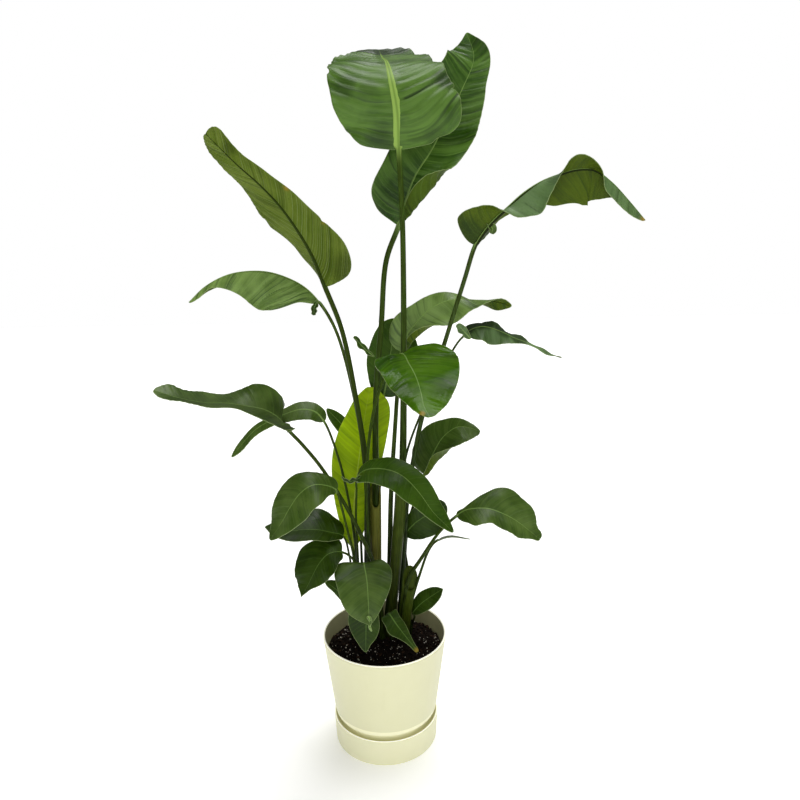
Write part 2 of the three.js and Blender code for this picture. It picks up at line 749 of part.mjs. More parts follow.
function stalkRings(leaf, run, columns, count) {
  const [thick, thin] = leaf.thick;
  let face = bladeFrame(leaf, run, 0).face;
  const rings = [];
  for (let i = count; i >= 0; i -= 1) {
    const share = i / (count + 1);
    const { at, ahead } = spotOn(run, run.join * share);
    face = squared(face, ahead);
    const frame = { at, face, right: ahead.clone().cross(face) };
    const radius = thin + (thick - thin) * (1 - share) ** 1.6;
    rings.unshift(stalkRing(frame, radius, columns));
  }
  const [x, y] = leaf.foot;
  const up = new THREE.Vector3(0, 0, 1);
  const level = squared(face, up);
  for (const height of [SOIL.top + SOIL.straight, SOIL.top - SOIL.holeDepth]) {
    const at = new THREE.Vector3(x, y, height);
    rings.unshift(stalkRing({ at, face: level, right: up.clone().cross(level) }, thick, columns));
  }
  return rings;
}

function bladeRings(leaf, run, columns, count) {
  const places = Array.from({ length: count + 1 }, (_, i) => (1 - Math.cos((Math.PI * i) / count)) / 2);
  const ribOf = (s) => TIP_RADIUS + (leaf.thick[1] - TIP_RADIUS) * (1 - s) ** 0.8;
  // The column next to the midrib keeps to the foot of the rib's ridge.
  const acrossOf = (s) => {
    const width = Math.max(halfWidth(leaf, 0, s), halfWidth(leaf, 1, s));
    const ridge = Math.min((1.5 * ribOf(s)) / Math.max(width, 1e-6), 1 / 3);
    const cells = (columns.length - 1) / 2;
    if (cells < 3) {
      return columns;
    }
    return columns.map((v) => {
      const far = Math.abs(v);
      const placed = far < 1e-9 ? 0 : ridge + ((far - 1 / cells) / (1 - 1 / cells)) * (1 - ridge);
      return Math.sign(v) * placed;
    });
  };
  const sheet = places.map((s) => acrossOf(s).map((v) => bladePoint(leaf, run, s, v)));
  return places.map((s, i) => {
    const frame = bladeFrame(leaf, run, s);
    const radius = ribOf(s);
    const tube = stalkRing(frame, radius, columns);
    const width = Math.min(halfWidth(leaf, 0, s), halfWidth(leaf, 1, s));
    const flat = smooth((width - 0.4 * radius) / (2 * radius));
    const [before, after] = [sheet[Math.max(i - 1, 0)], sheet[Math.min(i + 1, count)]];
    const over = [];
    const under = [];
    columns.forEach((v, j) => {
      const ahead = after[j].clone().sub(before[j]);
      const across = sheet[i][Math.min(j + 1, columns.length - 1)]
        .clone()
        .sub(sheet[i][Math.max(j - 1, 0)]);
      const normal = across.cross(ahead).normalize();
      const out = normal.lengthSq() > 0.5 ? normal : frame.face;
      const ridge = j === (columns.length - 1) / 2 ? radius * 1.3 : 0;
      const top = sheet[i][j].clone().addScaledVector(out, BLADE / 2);
      const low = sheet[i][j].clone().addScaledVector(out, -BLADE / 2 - ridge);
      over.push(tube.over[j].clone().lerp(top, flat));
      under.push(tube.under[j].clone().lerp(low, flat));
    });
    return { over, under };
  });
}

// Closes the rings into one body, with both faces of the blade split the same way.
function skinned(rings) {
  const wide = rings[0].over.length;
  const spots = rings.flatMap((ring) => [...ring.over, ...ring.under]);
  const over = (i, j) => i * 2 * wide + j;
  const under = (i, j) => over(i, j) + wide;
  const faces = [];
  for (let i = 0; i < rings.length - 1; i += 1) {
    for (let j = 0; j < wide - 1; j += 1) {
      faces.push([over(i, j), over(i, j + 1), over(i + 1, j + 1)]);
      faces.push([over(i, j), over(i + 1, j + 1), over(i + 1, j)]);
      faces.push([under(i, j), under(i + 1, j + 1), under(i, j + 1)]);
      faces.push([under(i, j), under(i + 1, j), under(i + 1, j + 1)]);
    }
    const end = wide - 1;
    faces.push([over(i, 0), over(i + 1, 0), under(i + 1, 0)]);
    faces.push([over(i, 0), under(i + 1, 0), under(i, 0)]);
    faces.push([over(i, end), under(i + 1, end), over(i + 1, end)]);
    faces.push([over(i, end), under(i, end), under(i + 1, end)]);
  }
  const last = rings.length - 1;
  for (let j = 0; j < wide - 1; j += 1) {
    faces.push([over(0, j), under(0, j), under(0, j + 1)]);
    faces.push([over(0, j), under(0, j + 1), over(0, j + 1)]);
    faces.push([over(last, j), under(last, j + 1), under(last, j)]);
    faces.push([over(last, j), over(last, j + 1), under(last, j + 1)]);
  }
  const geometry = new THREE.BufferGeometry().setFromPoints(spots);
  geometry.setIndex(faces.flat());
  return geometry;
}

function leafGeometry(leaf) {
  const run = runOf(leaf);
  const widest = Math.max(...leaf.half.flat());
  const cells = widest > 42 ? 4 : widest > 24 ? 3 : 2;
  const columns = columnsOf(cells);
  const bladeLength = run.end - run.join;
  const bladeCount = Math.round(Math.min(Math.max(bladeLength / 24, 7), 13));
  const stalkCount = Math.round(Math.min(Math.max(run.join / 110, 2), 7));
  return skinned([
    ...stalkRings(leaf, run, columns, stalkCount),
    ...bladeRings(leaf, run, columns, bladeCount),
  ]);
}

// ---------------------------------------------------------------- assembly
function piece(name, geometry, look) {
  const mesh = new THREE.Mesh(geometry, new THREE.MeshStandardMaterial({ ...look, metalness: 0 }));
  mesh.name = name;
  return mesh;
}

const plant = new THREE.Group();
plant.name = "potted_bird_of_paradise";
plant.add(piece("pot", potGeometry(), LOOKS.pot));
plant.add(piece("saucer", saucerGeometry(), LOOKS.saucer));
plant.add(piece("soil", soilGeometry(), LOOKS.soil));
for (const leaf of LEAVES) {
  const look = leaf.name === "leaf_young" ? LOOKS.youngLeaf : LOOKS.leaf;
  plant.add(piece(leaf.name, leafGeometry(leaf), look));
}

export default plant;
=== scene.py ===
"""Potted bird of paradise: the plant's finished leaves and stalks, its soil, pot and saucer.

Sizes are in millimetres and become metres where a mesh is made. The front of the plant
looks towards -Y and the foot of the saucer stands on the origin.
"""

from __future__ import annotations

import logging
import math
import random
from dataclasses import dataclass
from enum import Enum
from typing import Any, Callable, Sequence

import bmesh
import bpy
import numpy as np
from mathutils import Euler, Matrix, Vector, noise

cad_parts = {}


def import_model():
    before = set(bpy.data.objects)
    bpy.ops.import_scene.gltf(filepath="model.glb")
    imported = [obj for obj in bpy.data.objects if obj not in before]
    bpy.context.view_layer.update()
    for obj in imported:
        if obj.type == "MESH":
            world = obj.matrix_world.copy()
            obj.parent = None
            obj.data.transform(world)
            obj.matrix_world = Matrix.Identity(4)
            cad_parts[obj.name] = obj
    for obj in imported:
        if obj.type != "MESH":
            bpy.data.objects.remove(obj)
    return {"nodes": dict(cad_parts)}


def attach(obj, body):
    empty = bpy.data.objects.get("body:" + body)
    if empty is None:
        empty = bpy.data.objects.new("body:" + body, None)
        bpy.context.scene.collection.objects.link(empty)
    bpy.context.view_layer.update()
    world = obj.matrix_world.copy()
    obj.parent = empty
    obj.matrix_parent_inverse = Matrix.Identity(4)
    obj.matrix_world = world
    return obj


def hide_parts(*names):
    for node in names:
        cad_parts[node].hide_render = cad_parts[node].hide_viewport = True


LOG = logging.getLogger("plant")
BODY = "root"
MM = 0.001
WELD = 1e-6
FULL_TURN = 2 * math.pi

Row = Sequence[float]
Points = Sequence[Sequence[float]]
Profile = Sequence[tuple[float, float]]
Shape = bmesh.types.BMesh
Piece = bpy.types.Object

# What the corners of a leaf carry for its materials: metres along a vein's row, out from the
# midrib and in from the margin, the share of the stalk or blade, the pleats, the upper side,
# how worn the blade is and how deep in its painted shade each corner lies.
CARRIED = ("run", "out", "edge", "share", "fold", "upper", "worn", "shaded")


# ---------------------------------------------------------------- colours and nodes
# The numbers of a Mix node's colour sockets, because its sockets share their names.
MIX_SHARE, MIX_FIRST, MIX_SECOND, MIX_RESULT = 0, 6, 7, 2


def linear(code: str) -> tuple[float, float, float, float]:
    """Turn a screen colour into light values.

    Args:
        code: The colour as six hexadecimal digits.

    Returns:
        Red, green, blue and a full alpha.
    """
    parts = [int(code[i : i + 2], 16) / 255 for i in (0, 2, 4)]
    red, green, blue = (c / 12.92 if c <= 0.04045 else ((c + 0.055) / 1.055) ** 2.4 for c in parts)
    return red, green, blue, 1.0


class Board:
    """Adds and links the nodes of one material or one node group."""

    def __init__(self, tree: bpy.types.NodeTree) -> None:
        """Keep the tree that the nodes go into."""
        self.tree = tree

    def add(self, kind: str, inputs: dict[str | int, Any] | None = None, **settings: Any) -> Any:
        """Add one node.

        Args:
            kind: The node's type without its ShaderNode prefix.
            inputs: Values or other nodes' outputs, by the name or number of the input.
            settings: The node's own settings.

        Returns:
            The new node.
        """
        node = self.tree.nodes.new(f"ShaderNode{kind}")
        for key, value in settings.items():
            setattr(node, key, value)
        for key, value in (inputs or {}).items():
            if isinstance(value, bpy.types.NodeSocket):
                self.tree.links.new(value, node.inputs[key])
            else:
                node.inputs[key].default_value = value
        return node

    def feed(self, node: Any, **inputs: Any) -> None:
        """Link outputs to a node's inputs, whose names are given with _ for each space."""
        for key, value in inputs.items():
            self.tree.links.new(value, node.inputs[key.replace("_", " ")])

    def place(self) -> Any:
        """Return the place on the piece in metres."""
        return self.add("TexCoord").outputs["Object"]

    def mapped(self, where: Any, **moves: Any) -> Any:
        """Return a place that is moved or stretched by a mapping node."""
        return self.add("Mapping", {"Vector": where, **moves}).outputs["Vector"]

    def math(self, operation: str, *values: Any) -> Any:
        """Return the output of a math node of these values."""
        return self.add("Math", dict(enumerate(values)), operation=operation).outputs[0]

    def plus(self, first: Any, second: Any) -> Any:
        """Return the sum of two values."""
        return self.math("ADD", first, second)

    def minus(self, first: Any, second: Any) -> Any:
        """Return what is left of the first value without the second."""
        return self.math("SUBTRACT", first, second)

    def times(self, first: Any, second: Any) -> Any:
        """Return the product of two values."""
        return self.math("MULTIPLY", first, second)

    def ramp(self, value: Any, low: float, high: float) -> Any:
        """Return 0 below low, 1 above high and a smooth rise between them."""
        inputs = {"Value": value, "From Min": low, "From Max": high}
        return self.add("MapRange", inputs, interpolation_type="SMOOTHSTEP").outputs["Result"]

    def mix(self, share: Any, first: Any, second: Any) -> Any:
        """Return a colour between two, by share. Either may be a screen colour's code."""
        first, second = (linear(c) if isinstance(c, str) else c for c in (first, second))
        numbers = {MIX_SHARE: share, MIX_FIRST: first, MIX_SECOND: second}
        return self.add("Mix", numbers, data_type="RGBA").outputs[MIX_RESULT]

    def attribute(self, name: str) -> Any:
        """Return the value that the mesh carries under this name."""
        return self.add("Attribute", attribute_name=name).outputs["Fac"]

    def noise(self, where: Any, scale: float, detail: float = 3, rough: float = 0.55) -> Any:
        """Return soft noise from 0 to 1 at this scale per metre."""
        inputs = {"Vector": where, "Scale": scale, "Detail": detail, "Roughness": rough}
        return self.add("TexNoise", inputs).outputs["Fac"]


def make_group(name: str, inputs: dict[str, float], outputs: Sequence[str]) -> tuple[Board, Any, Any]:
    """Start a node group with number inputs and number outputs.

    Args:
        name: The group's name.
        inputs: Each input and the value it starts with.
        outputs: The outputs' names.

    Returns:
        The board of the group's nodes, its inputs and the node that takes its outputs.
    """
    tree = bpy.data.node_groups.new(name, "ShaderNodeTree")
    for key, value in inputs.items():
        socket = tree.interface.new_socket(key, in_out="INPUT", socket_type="NodeSocketFloat")
        socket.default_value = value
    for key in outputs:
        tree.interface.new_socket(key, in_out="OUTPUT", socket_type="NodeSocketFloat")
    taken = tree.nodes.new("NodeGroupInput").outputs
    given = tree.nodes.new("NodeGroupOutput")
    return Board(tree), taken, given


class Patterns:
    """The effects that more than one finish uses, each built once."""

    # How far in metres and at what scale the veins wander, how thin they are and how uneven,
    # the hairs between two of them, and how much longer than wide their bands are.
    WANDER, WANDER_SCALE = 0.008, 18
    THINNESS, UNEVENNESS = 22.0, 1.5
    HAIRS = 5
    BAND_STRETCH = 9.0

    def __init__(self) -> None:
        """Build every shared group."""
        self.leaf = self._leaf_pattern()
        self.grain = self._grain()

    def _leaf_pattern(self) -> bpy.types.NodeTree:
        """Build a blade's side veins, painted shade in its creases, patches, midrib and pale margin, which
        is partly a painted highlight.

        Returns:
            The group. It reads how far a point lies along its vein's row (run), across from the
            midrib (out), along the blade (share) and in from the margin (edge), and the height
            of the pleats (fold).
        """
        inputs = {"Gap": 0.006, "Margin Width": 0.0007, "Rib Width": 0.0013}
        outputs = ("Veins", "Hairs", "Creases", "Bands", "Streaks", "Patches", "Margin", "Rib")
        board, taken, given = make_group("leaf_pattern", inputs, outputs)
        place = board.place()
        out, share = board.attribute("out"), board.attribute("share")
        wander = board.times(board.minus(board.noise(place, self.WANDER_SCALE), 0.5), self.WANDER)
        turns = board.math("DIVIDE", board.plus(board.attribute("run"), wander), taken["Gap"])
        wave = board.math("ABSOLUTE", board.math("COSINE", board.times(turns, math.pi)))
        number = board.math("FLOOR", board.plus(turns, 0.5))
        luck = board.add("TexWhiteNoise", {"W": number}, noise_dimensions="1D").outputs["Value"]
        thin = board.math("POWER", wave, self.THINNESS)
        veins = board.times(thin, board.math("POWER", luck, self.UNEVENNESS))
        fine = board.math("COSINE", board.times(turns, FULL_TURN * self.HAIRS))
        stretch = board.times(out, self.BAND_STRETCH)
        strip = board.add("CombineXYZ", {"X": turns, "Y": stretch}).outputs[0]
        rows = board.noise(strip, 0.42, 3, 0.65)
        elsewhere = board.mapped(strip, Location=(31, 7, 3))
        dips = board.noise(elsewhere, 0.6, 3, 0.65)
        uneven = board.times(board.noise(place, 120), taken["Margin Width"])
        reach = board.plus(uneven, taken["Margin Width"])
        edge = board.math("DIVIDE", board.attribute("edge"), reach)
        width = board.times(board.minus(1.12, share), taken["Rib Width"])
        values = {
            "Veins": veins,
            "Hairs": fine,
            # Painted shade: darker where the pleats dip.
            "Creases": board.minus(1.0, board.ramp(board.attribute("fold"), -1.0, -0.35)),
            "Bands": board.ramp(rows, 0.42, 0.6),
            "Streaks": board.ramp(dips, 0.5, 0.66),
            "Patches": board.ramp(board.noise(place, 15, 3), 0.4, 0.62),
            "Margin": board.minus(1.0, board.ramp(edge, 0.35, 1.0)),
            "Rib": board.minus(1.0, board.ramp(board.math("DIVIDE", out, width), 0.6, 1.0)),
        }
        board.feed(given, **values)
        return board.tree

    @staticmethod
    def _grain() -> bpy.types.NodeTree:
        """Build the fine and broad unevenness of a surface.

        Returns:
            The group, whose outputs run from 0 to 1.
        """
        board, taken, given = make_group("surface_grain", {"Scale": 400.0}, ("Fine", "Broad"))
        place = board.place()
        fine = board.noise(place, taken["Scale"], 4, 0.6)
        broad = board.noise(place, board.times(taken["Scale"], 0.04), 3)
        board.feed(given, Fine=fine, Broad=broad)
        return board.tree


class Finish:
    """Base of the finishes: starts a material with its one shader."""

    def start(self, name: str, constants: dict[str, Any]) -> tuple[bpy.types.Material, Board, Any]:
        """Start a material.

        Args:
            name: The material's name.
            constants: Values that are the same all over, on the shader's own sockets.

        Returns:
            The material, the board of its nodes and its shader.
        """
        material = bpy.data.materials.new(name)
        material.use_nodes = True
        shader = material.node_tree.nodes["Principled BSDF"]
        for key, value in constants.items():
            shader.inputs[key].default_value = value
        return material, Board(material.node_tree), shader

    @staticmethod
    def relief(board: Board, shader: Any, height: Any, strength: float, distance: float) -> None:
        """Add a bump to the shader.

        Args:
            board: The board of the material.
            shader: The shader that takes the bump.
            height: The height, from 0 to 1.
            strength: The share of the bump that shows.
            distance: The height in metres that 1 stands for.
        """
        inputs = {"Height": height, "Strength": strength, "Distance": distance}
        board.feed(shader, Normal=board.add("Bump", inputs).outputs["Normal"])


@dataclass(frozen=True)
class LeafFinish(Finish):
    """A leaf's screen colours, its gloss, how much each layer shows and its veins' gap in metres."""

    upper: str = "2c470a"
    fresh: str = "426012"
    # The dark tint below is used for the random streaks, and it also paints shade into the pleats' creases
    # and the blade's spots of shade.
    shade_and_streak: str = "0f2203"
    under: str = "3b4d04"
    under_fresh: str = "4a5d08"
    vein: str = "6b8a44"
    rib: str = "7d9a50"
    rib_under: str = "2c3a0a"
    stalk: str = "2c3b08"
    stalk_foot: str = "101800"
    # The pale margin is partly the leaf's own pale edge and partly a painted highlight along the blade's
    # edge.
    margin: str = "8c9c66"
    worn: str = "8a7426"
    gloss: float = 0.34
    under_gloss: float = 0.55
    sheen: float = 0.12
    patch_share: float = 0.6
    # How strongly the painted shade of the spots shows.
    painted_shade_share: float = 0.85
    pale_margin_and_highlight_share: float = 0.6
    rib_share: float = 0.85
    worn_share: float = 0.9
    vein_share: float = 0.16
    # How strongly the painted shade in the creases shows.
    crease_shade_share: float = 0.4
    band_share: float = 0.6
    streak_share: float = 0.45
    vein_gap: float = 0.007

    def blade(self, name: str, patterns: Patterns, under: bool = False) -> bpy.types.Material:
        """Make the material of one face of a blade.

        Args:
            name: The material's name.
            patterns: The shared groups.
            under: Whether this is the underside.

        Returns:
            The material.
        """
        constants = {
            "Subsurface Weight": 0.1,
            "Subsurface Radius": (0.6, 1.0, 0.3),
            "Subsurface Scale": 0.002,
            "Specular IOR Level": self.sheen * (0.5 if under else 1.0),
        }
        material, board, shader = self.start(name, constants)
        pattern = board.add("Group", {"Gap": self.vein_gap}, node_tree=patterns.leaf)
        grain = board.add("Group", {"Scale": 900.0}, node_tree=patterns.grain)
        masks = pattern.outputs
        fresh = self.under_fresh if under else self.fresh
        layers = [
            (masks["Patches"], self.patch_share, fresh),
            (masks["Bands"], self.band_share, fresh),
            (masks["Streaks"], self.streak_share, self.shade_and_streak),
            # Painted shade in the pleats' creases.
            (masks["Creases"], self.crease_shade_share * (0.4 if under else 1.0), self.shade_and_streak),
            # Painted shade in the blade's spots of shade.
            (board.attribute("shaded"), self.painted_shade_share, self.shade_and_streak),
            (masks["Veins"], self.vein_share, self.vein),
            # Pale margin, partly a painted highlight along the blade's edge.
            (masks["Margin"], self.pale_margin_and_highlight_share, self.margin),
            (masks["Rib"], self.rib_share, self.rib_under if under else self.rib),
            (board.attribute("worn"), self.worn_share, self.worn),
        ]
        colour = self.under if under else self.upper
        for mask, share, tint in layers:
            colour = board.mix(board.times(mask, share), colour, tint)
        board.feed(shader, Base_Color=colour)
        uneven = board.times(board.minus(masks["Patches"], 0.5), 0.12)
        speckle = board.times(board.minus(grain.outputs["Fine"], 0.5), 0.2)
        gloss = self.under_gloss if under else self.gloss
        board.feed(shader, Roughness=board.plus(board.plus(uneven, speckle), gloss))
        hairs = board.times(masks["Hairs"], 0.12)
        skin = board.times(grain.outputs["Fine"], 0.25)
        height = board.plus(board.plus(masks["Veins"], hairs), skin)
        self.relief(board, shader, height, 0.5, 0.0005 if under else -0.0004)
        return material

    def stem(self, name: str, patterns: Patterns) -> bpy.types.Material:
        """Make the material of a stalk and its midrib.

        Args:
            name: The material's name.
            patterns: The shared groups.

        Returns:
            The material.
        """
        constants = {"Specular IOR Level": 0.06, "Subsurface Weight": 0.05, "Subsurface Scale": 0.002}
        material, board, shader = self.start(name, constants)
        share, upper = board.attribute("share"), board.attribute("upper")
        grain = board.add("Group", {"Scale": 260.0}, node_tree=patterns.grain)
        place = board.place()
        streak = board.ramp(board.noise(board.mapped(place, Scale=(1.0, 1.0, 0.06)), 420, 4), 0.35, 0.7)
        stalk = board.mix(board.ramp(share, -0.8, -0.15), self.stalk_foot, self.stalk)
        stalk = board.mix(board.times(streak, 0.25), stalk, self.fresh)
        groove = board.ramp(upper, 0.9, 0.995)
        pale = board.mix(board.times(groove, 0.45), self.rib, self.upper)
        rib = board.mix(board.ramp(upper, -0.2, 0.25), self.rib_under, pale)
        board.feed(shader, Base_Color=board.mix(board.ramp(share, -0.03, 0.02), stalk, rib))
        board.feed(shader, Roughness=board.plus(board.times(grain.outputs["Fine"], 0.2), 0.3))
        lines = board.times(streak, 0.6)
        height = board.plus(lines, board.times(grain.outputs["Fine"], 0.3))
        self.relief(board, shader, height, 0.35, 0.0006)
        return material


@dataclass(frozen=True)
class PlasticFinish(Finish):
    """Matte moulded plastic: its colour, gloss and fine grain, and how strongly it glows in its own colour
    as painted light.
    """

    colour: str = "e0dfb9"
    shade: str = "d3d1a7"
    rough: float = 0.42
    # How strongly the plastic glows: painted light, for it is no lamp.
    painted_glow: float = 0.0

    def material(self, name: str, patterns: Patterns) -> bpy.types.Material:
        """Make the plastic.

        Args:
            name: The material's name.
            patterns: The shared groups.

        Returns:
            The material.
        """
        constants = {
            "Specular IOR Level": 0.45,
            "Subsurface Weight": 0.08,
            "Subsurface Radius": (1.0, 0.9, 0.6),
            "Subsurface Scale": 0.003,
            "Emission Strength": self.painted_glow,
        }
        material, board, shader = self.start(name, constants)
        grain = board.add("Group", {"Scale": 700.0}, node_tree=patterns.grain)
        place = board.place()
        rubs = board.ramp(board.noise(board.mapped(place, Scale=(1.0, 1.0, 0.15)), 60, 5, 0.6), 0.55, 0.8)
        uneven = board.times(grain.outputs["Broad"], 0.4)
        shade = board.plus(uneven, board.times(rubs, 0.15))
        colour = board.mix(shade, self.colour, self.shade)
        # The plastic also glows in its colour, as painted light.
        board.feed(shader, Base_Color=colour, Emission_Color=colour)
        rough = board.plus(board.times(grain.outputs["Fine"], 0.16), self.rough - 0.08)
        board.feed(shader, Roughness=board.plus(rough, board.times(rubs, 0.08)))
        self.relief(board, shader, grain.outputs["Fine"], 0.25, 0.0002)
        return material


@dataclass(frozen=True)
class EarthFinish(Finish):
    """Potting soil or what lies in it: two colours and how dull it is."""

    dark: str = "150d07"
    light: str = "33241a"
    rough: float = 0.92
    scale: float = 260.0

    def material(self, name: str, patterns: Patterns) -> bpy.types.Material:
        """Make the soil's material.

        Args:
            name: The material's name.
            patterns: The shared groups.

        Returns:
            The material.
        """
        material, board, shader = self.start(name, {"Specular IOR Level": 0.1})
        grain = board.add("Group", {"Scale": self.scale}, node_tree=patterns.grain)
        place = board.place()
        clump = board.ramp(board.noise(place, self.scale * 0.5, 5, 0.65), 0.35, 0.75)
        board.feed(shader, Base_Color=board.mix(clump, self.dark, self.light))
        damp = board.times(grain.outputs["Broad"], -0.3)
        board.feed(shader, Roughness=board.plus(damp, self.rough + 0.1))
        self.relief(board, shader, board.plus(clump, grain.outputs["Fine"]), 0.8, 0.0012)
        return material


class Tone(Enum):
    """The leaves' looks, from young lime to old dark green; two of them also carry painted sheen."""

    DARK = LeafFinish(band_share=0.3, streak_share=0.22)
    DEEP = LeafFinish(
        upper="213506", fresh="38500f", under="2c3a06", under_fresh="37470c", rib="5c7838",
        gloss=0.36, band_share=0.25, streak_share=0.2, vein_share=0.1,
    )
    SHEATH = LeafFinish(stalk="34420c", stalk_foot="161f04", fresh="5c6c20")
    DRY = LeafFinish(stalk="565a1e", stalk_foot="32360e", fresh="8c8840")
    BROAD = LeafFinish(
        upper="3a5a14", fresh="587a2c", shade_and_streak="122804", rib="8aa850",
        gloss=0.42, sheen=0.22, crease_shade_share=0.75,
    )
    SECOND = LeafFinish(
        upper="2a4a08", fresh="54762a", shade_and_streak="0c1e02", under="33480a", under_fresh="44580f",
        gloss=0.4, sheen=0.2, band_share=0.8, streak_share=0.55,
    )
    # Lighter green, partly painted sheen of blades that face the top light.
    PALE = LeafFinish(
        upper="56702e", fresh="7c984e", shade_and_streak="243e10",
        gloss=0.42, sheen=0.22, streak_share=0.7, crease_shade_share=0.7,
    )
    PLAIN = LeafFinish(
        upper="384f16", fresh="586f2e", gloss=0.36, sheen=0.2, band_share=0.3, streak_share=0.25
    )
    GLOSSY = LeafFinish(
        upper="305604", fresh="507612", gloss=0.17, sheen=0.1, band_share=0.45, streak_share=0.4
    )
    OLIVE = LeafFinish(
        upper="2c3d04", fresh="3a4d08", under="4a5c14", under_fresh="64742c", shade_and_streak="1e2c04",
        vein="97a676", gloss=0.45, sheen=0.08, vein_share=0.5, crease_shade_share=0.9, vein_gap=0.0062,
    )
    # Grey green, partly painted sheen of twisted blades that face the light.
    TWISTED = LeafFinish(
        upper="4c6636", fresh="64804e", shade_and_streak="20340c", under="3a4a04", under_fresh="4a5c0c",
        rib_under="1c2604", gloss=0.45, sheen=0.25, vein_share=0.1,
    )
    LIME = LeafFinish(
        upper="88a800", fresh="a8c806", shade_and_streak="4c6a04", under="a8c806", under_fresh="b4d20c",
        vein="b8d058", rib="b4ca48", rib_under="8aa82a", stalk="4d6a10", stalk_foot="3d5210",
        margin="9db53a", gloss=0.45, sheen=0.08, streak_share=0.35, crease_shade_share=0.5,
    )


# ---------------------------------------------------------------- meshes
def new_piece(name: str, shape: Shape, materials: Sequence[bpy.types.Material]) -> Piece:
    """Turn a shape into a piece of the plant that stands at the origin.

    Args:
        name: The piece's name.
        shape: The mesh in metres, which is used up.
        materials: The piece's materials, by the number its faces carry.

    Returns:
        The piece.
    """
    mesh = bpy.data.meshes.new(name)
    shape.to_mesh(mesh)
    shape.free()
    for material in materials:
        mesh.materials.append(material)
    piece = bpy.data.objects.new(name, mesh)
    bpy.context.scene.collection.objects.link(piece)
    return piece


def shared(name: str, make: Callable[[str], bpy.types.Material]) -> bpy.types.Material:
    """Return the material of this name, made the first time that it is asked for."""
    return bpy.data.materials.get(name) or make(name)


def enter(piece: Piece, slot: str, *nodes: str) -> None:
    """Say what a piece rides on and the solids it stands for, and log it; the slot is not used."""
    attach(piece, BODY)
    if nodes:
        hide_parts(*nodes)
    faces = len(piece.data.polygons)
    LOG.info("%s: %d faces, stands for %s", piece.name, faces, ", ".join(nodes) or "nothing")


def turned(profile: Profile, steps: int) -> Shape:
    """Turn a profile round the upright axis.

    Args:
        profile: Radius and height of each point in millimetres, outside first.
        steps: The number of facets round the axis.

    Returns:
        The closed shape in metres.
    """
    shape = bmesh.new()
    points = [shape.verts.new((radius * MM, 0, height * MM)) for radius, height in profile]
    edges = [shape.edges.new(pair) for pair in zip(points, points[1:])]
    bmesh.ops.spin(
        shape, geom=points + edges, cent=(0, 0, 0), axis=(0, 0, 1), angle=FULL_TURN,
        steps=steps, use_merge=True, use_duplicate=False,
    )
    bmesh.ops.remove_doubles(shape, verts=shape.verts[:], dist=WELD)
    bmesh.ops.recalc_face_normals(shape, faces=shape.faces[:])
    return shape


def soften(shape: Shape, width: float, least: float) -> None:
    """Round the edges that turn by more than an angle.

    Args:
        shape: The mesh in metres.
        width: The width of the rounding in millimetres.
        least: The smallest angle that is rounded, in degrees.
    """
    limit = math.radians(least)
    edges = [e for e in shape.edges if e.is_manifold and abs(e.calc_face_angle(0.0)) > limit]
    bmesh.ops.bevel(
        shape, geom=edges, offset=width * MM, offset_type="OFFSET", affect="EDGES", segments=3,
        profile=0.5, material=-1, clamp_overlap=True,
    )


def smooth_faces(shape: Shape) -> None:
    """Shade every face of the shape smoothly."""
    for face in shape.faces:
        face.smooth = True


def faces_inward(face: bmesh.types.BMFace) -> bool:
    """Say whether a face of a turned shape looks towards the upright axis."""
    middle = face.calc_center_median()
    return face.normal.x * middle.x + face.normal.y * middle.y < 0


def shaped_grid(points: np.ndarray, values: dict[str, np.ndarray]) -> Shape:
    """Make a grid and put each of its corners in its place.

    Args:
        points: Places in millimetres, by row and column.
        values: Numbers that the corners carry, by name, row and column.

    Returns:
        The grid in metres.
    """
    rows, columns = points.shape[:2]
    shape = bmesh.new()
    layers = {name: shape.verts.layers.float.new(name) for name in CARRIED}
    bmesh.ops.create_grid(shape, x_segments=columns - 1, y_segments=rows - 1, size=0.5)
    for vert in shape.verts:
        spot = (round((vert.co.y + 0.5) * (rows - 1)), round((vert.co.x + 0.5) * (columns - 1)))
        vert.co = Vector(points[spot]) * MM
        for name, grid in values.items():
            vert[layers[name]] = float(grid[spot])
    return shape


def closed_tube(points: np.ndarray, values: dict[str, np.ndarray]) -> Shape:
    """Make a tube whose rings end where they start, and close its seam and both ends.

    Args:
        points: Places in millimetres, by ring and column.
        values: Numbers that the corners carry, by name, ring and column.

    Returns:
        The smooth tube in metres.
    """
    shape = shaped_grid(points, values)
    bmesh.ops.remove_doubles(shape, verts=[v for v in shape.verts if v.is_boundary], dist=WELD)
    bmesh.ops.holes_fill(shape, edges=[e for e in shape.edges if e.is_boundary], sides=0)
    bmesh.ops.recalc_face_normals(shape, faces=shape.faces[:])
    smooth_faces(shape)
    return shape


def joined(first: Shape, second: Shape) -> Shape:
    """Add a second shape to the first, and return the first."""
    mesh = bpy.data.meshes.new("joining")
    second.to_mesh(mesh)
    second.free()
    first.from_mesh(mesh)
    bpy.data.meshes.remove(mesh)
    return first


# ---------------------------------------------------------------- leaf form
SOIL_TOP = 194.0
STALK_START = 18.0
STALK_STRAIGHT = 16.0
HOLE_DEPTH = 34.0
BLADE = 0.9
BEND = (0.4, 0.7)
STALK_SLIM = 0.07
TIP_RADIUS = 0.7
STEPS_A_SPAN = 24
LEAN_DONE = 0.7
SIDE_SHIFT = 0.37

# How side veins lie, in millimetres: the width over which their rows bend on, the length of
# their unevenness, and how far from the midrib their pleats start and take to be full.
VEIN_BEND = 90
UNEVEN_LENGTH = 60
PLEAT_START, PLEAT_RISE = 3, 16

# How a half of a blade is lifted and bent, in degrees.
FLAT = ((0,), (0,))
CUPPED = ((8,), (-10,))


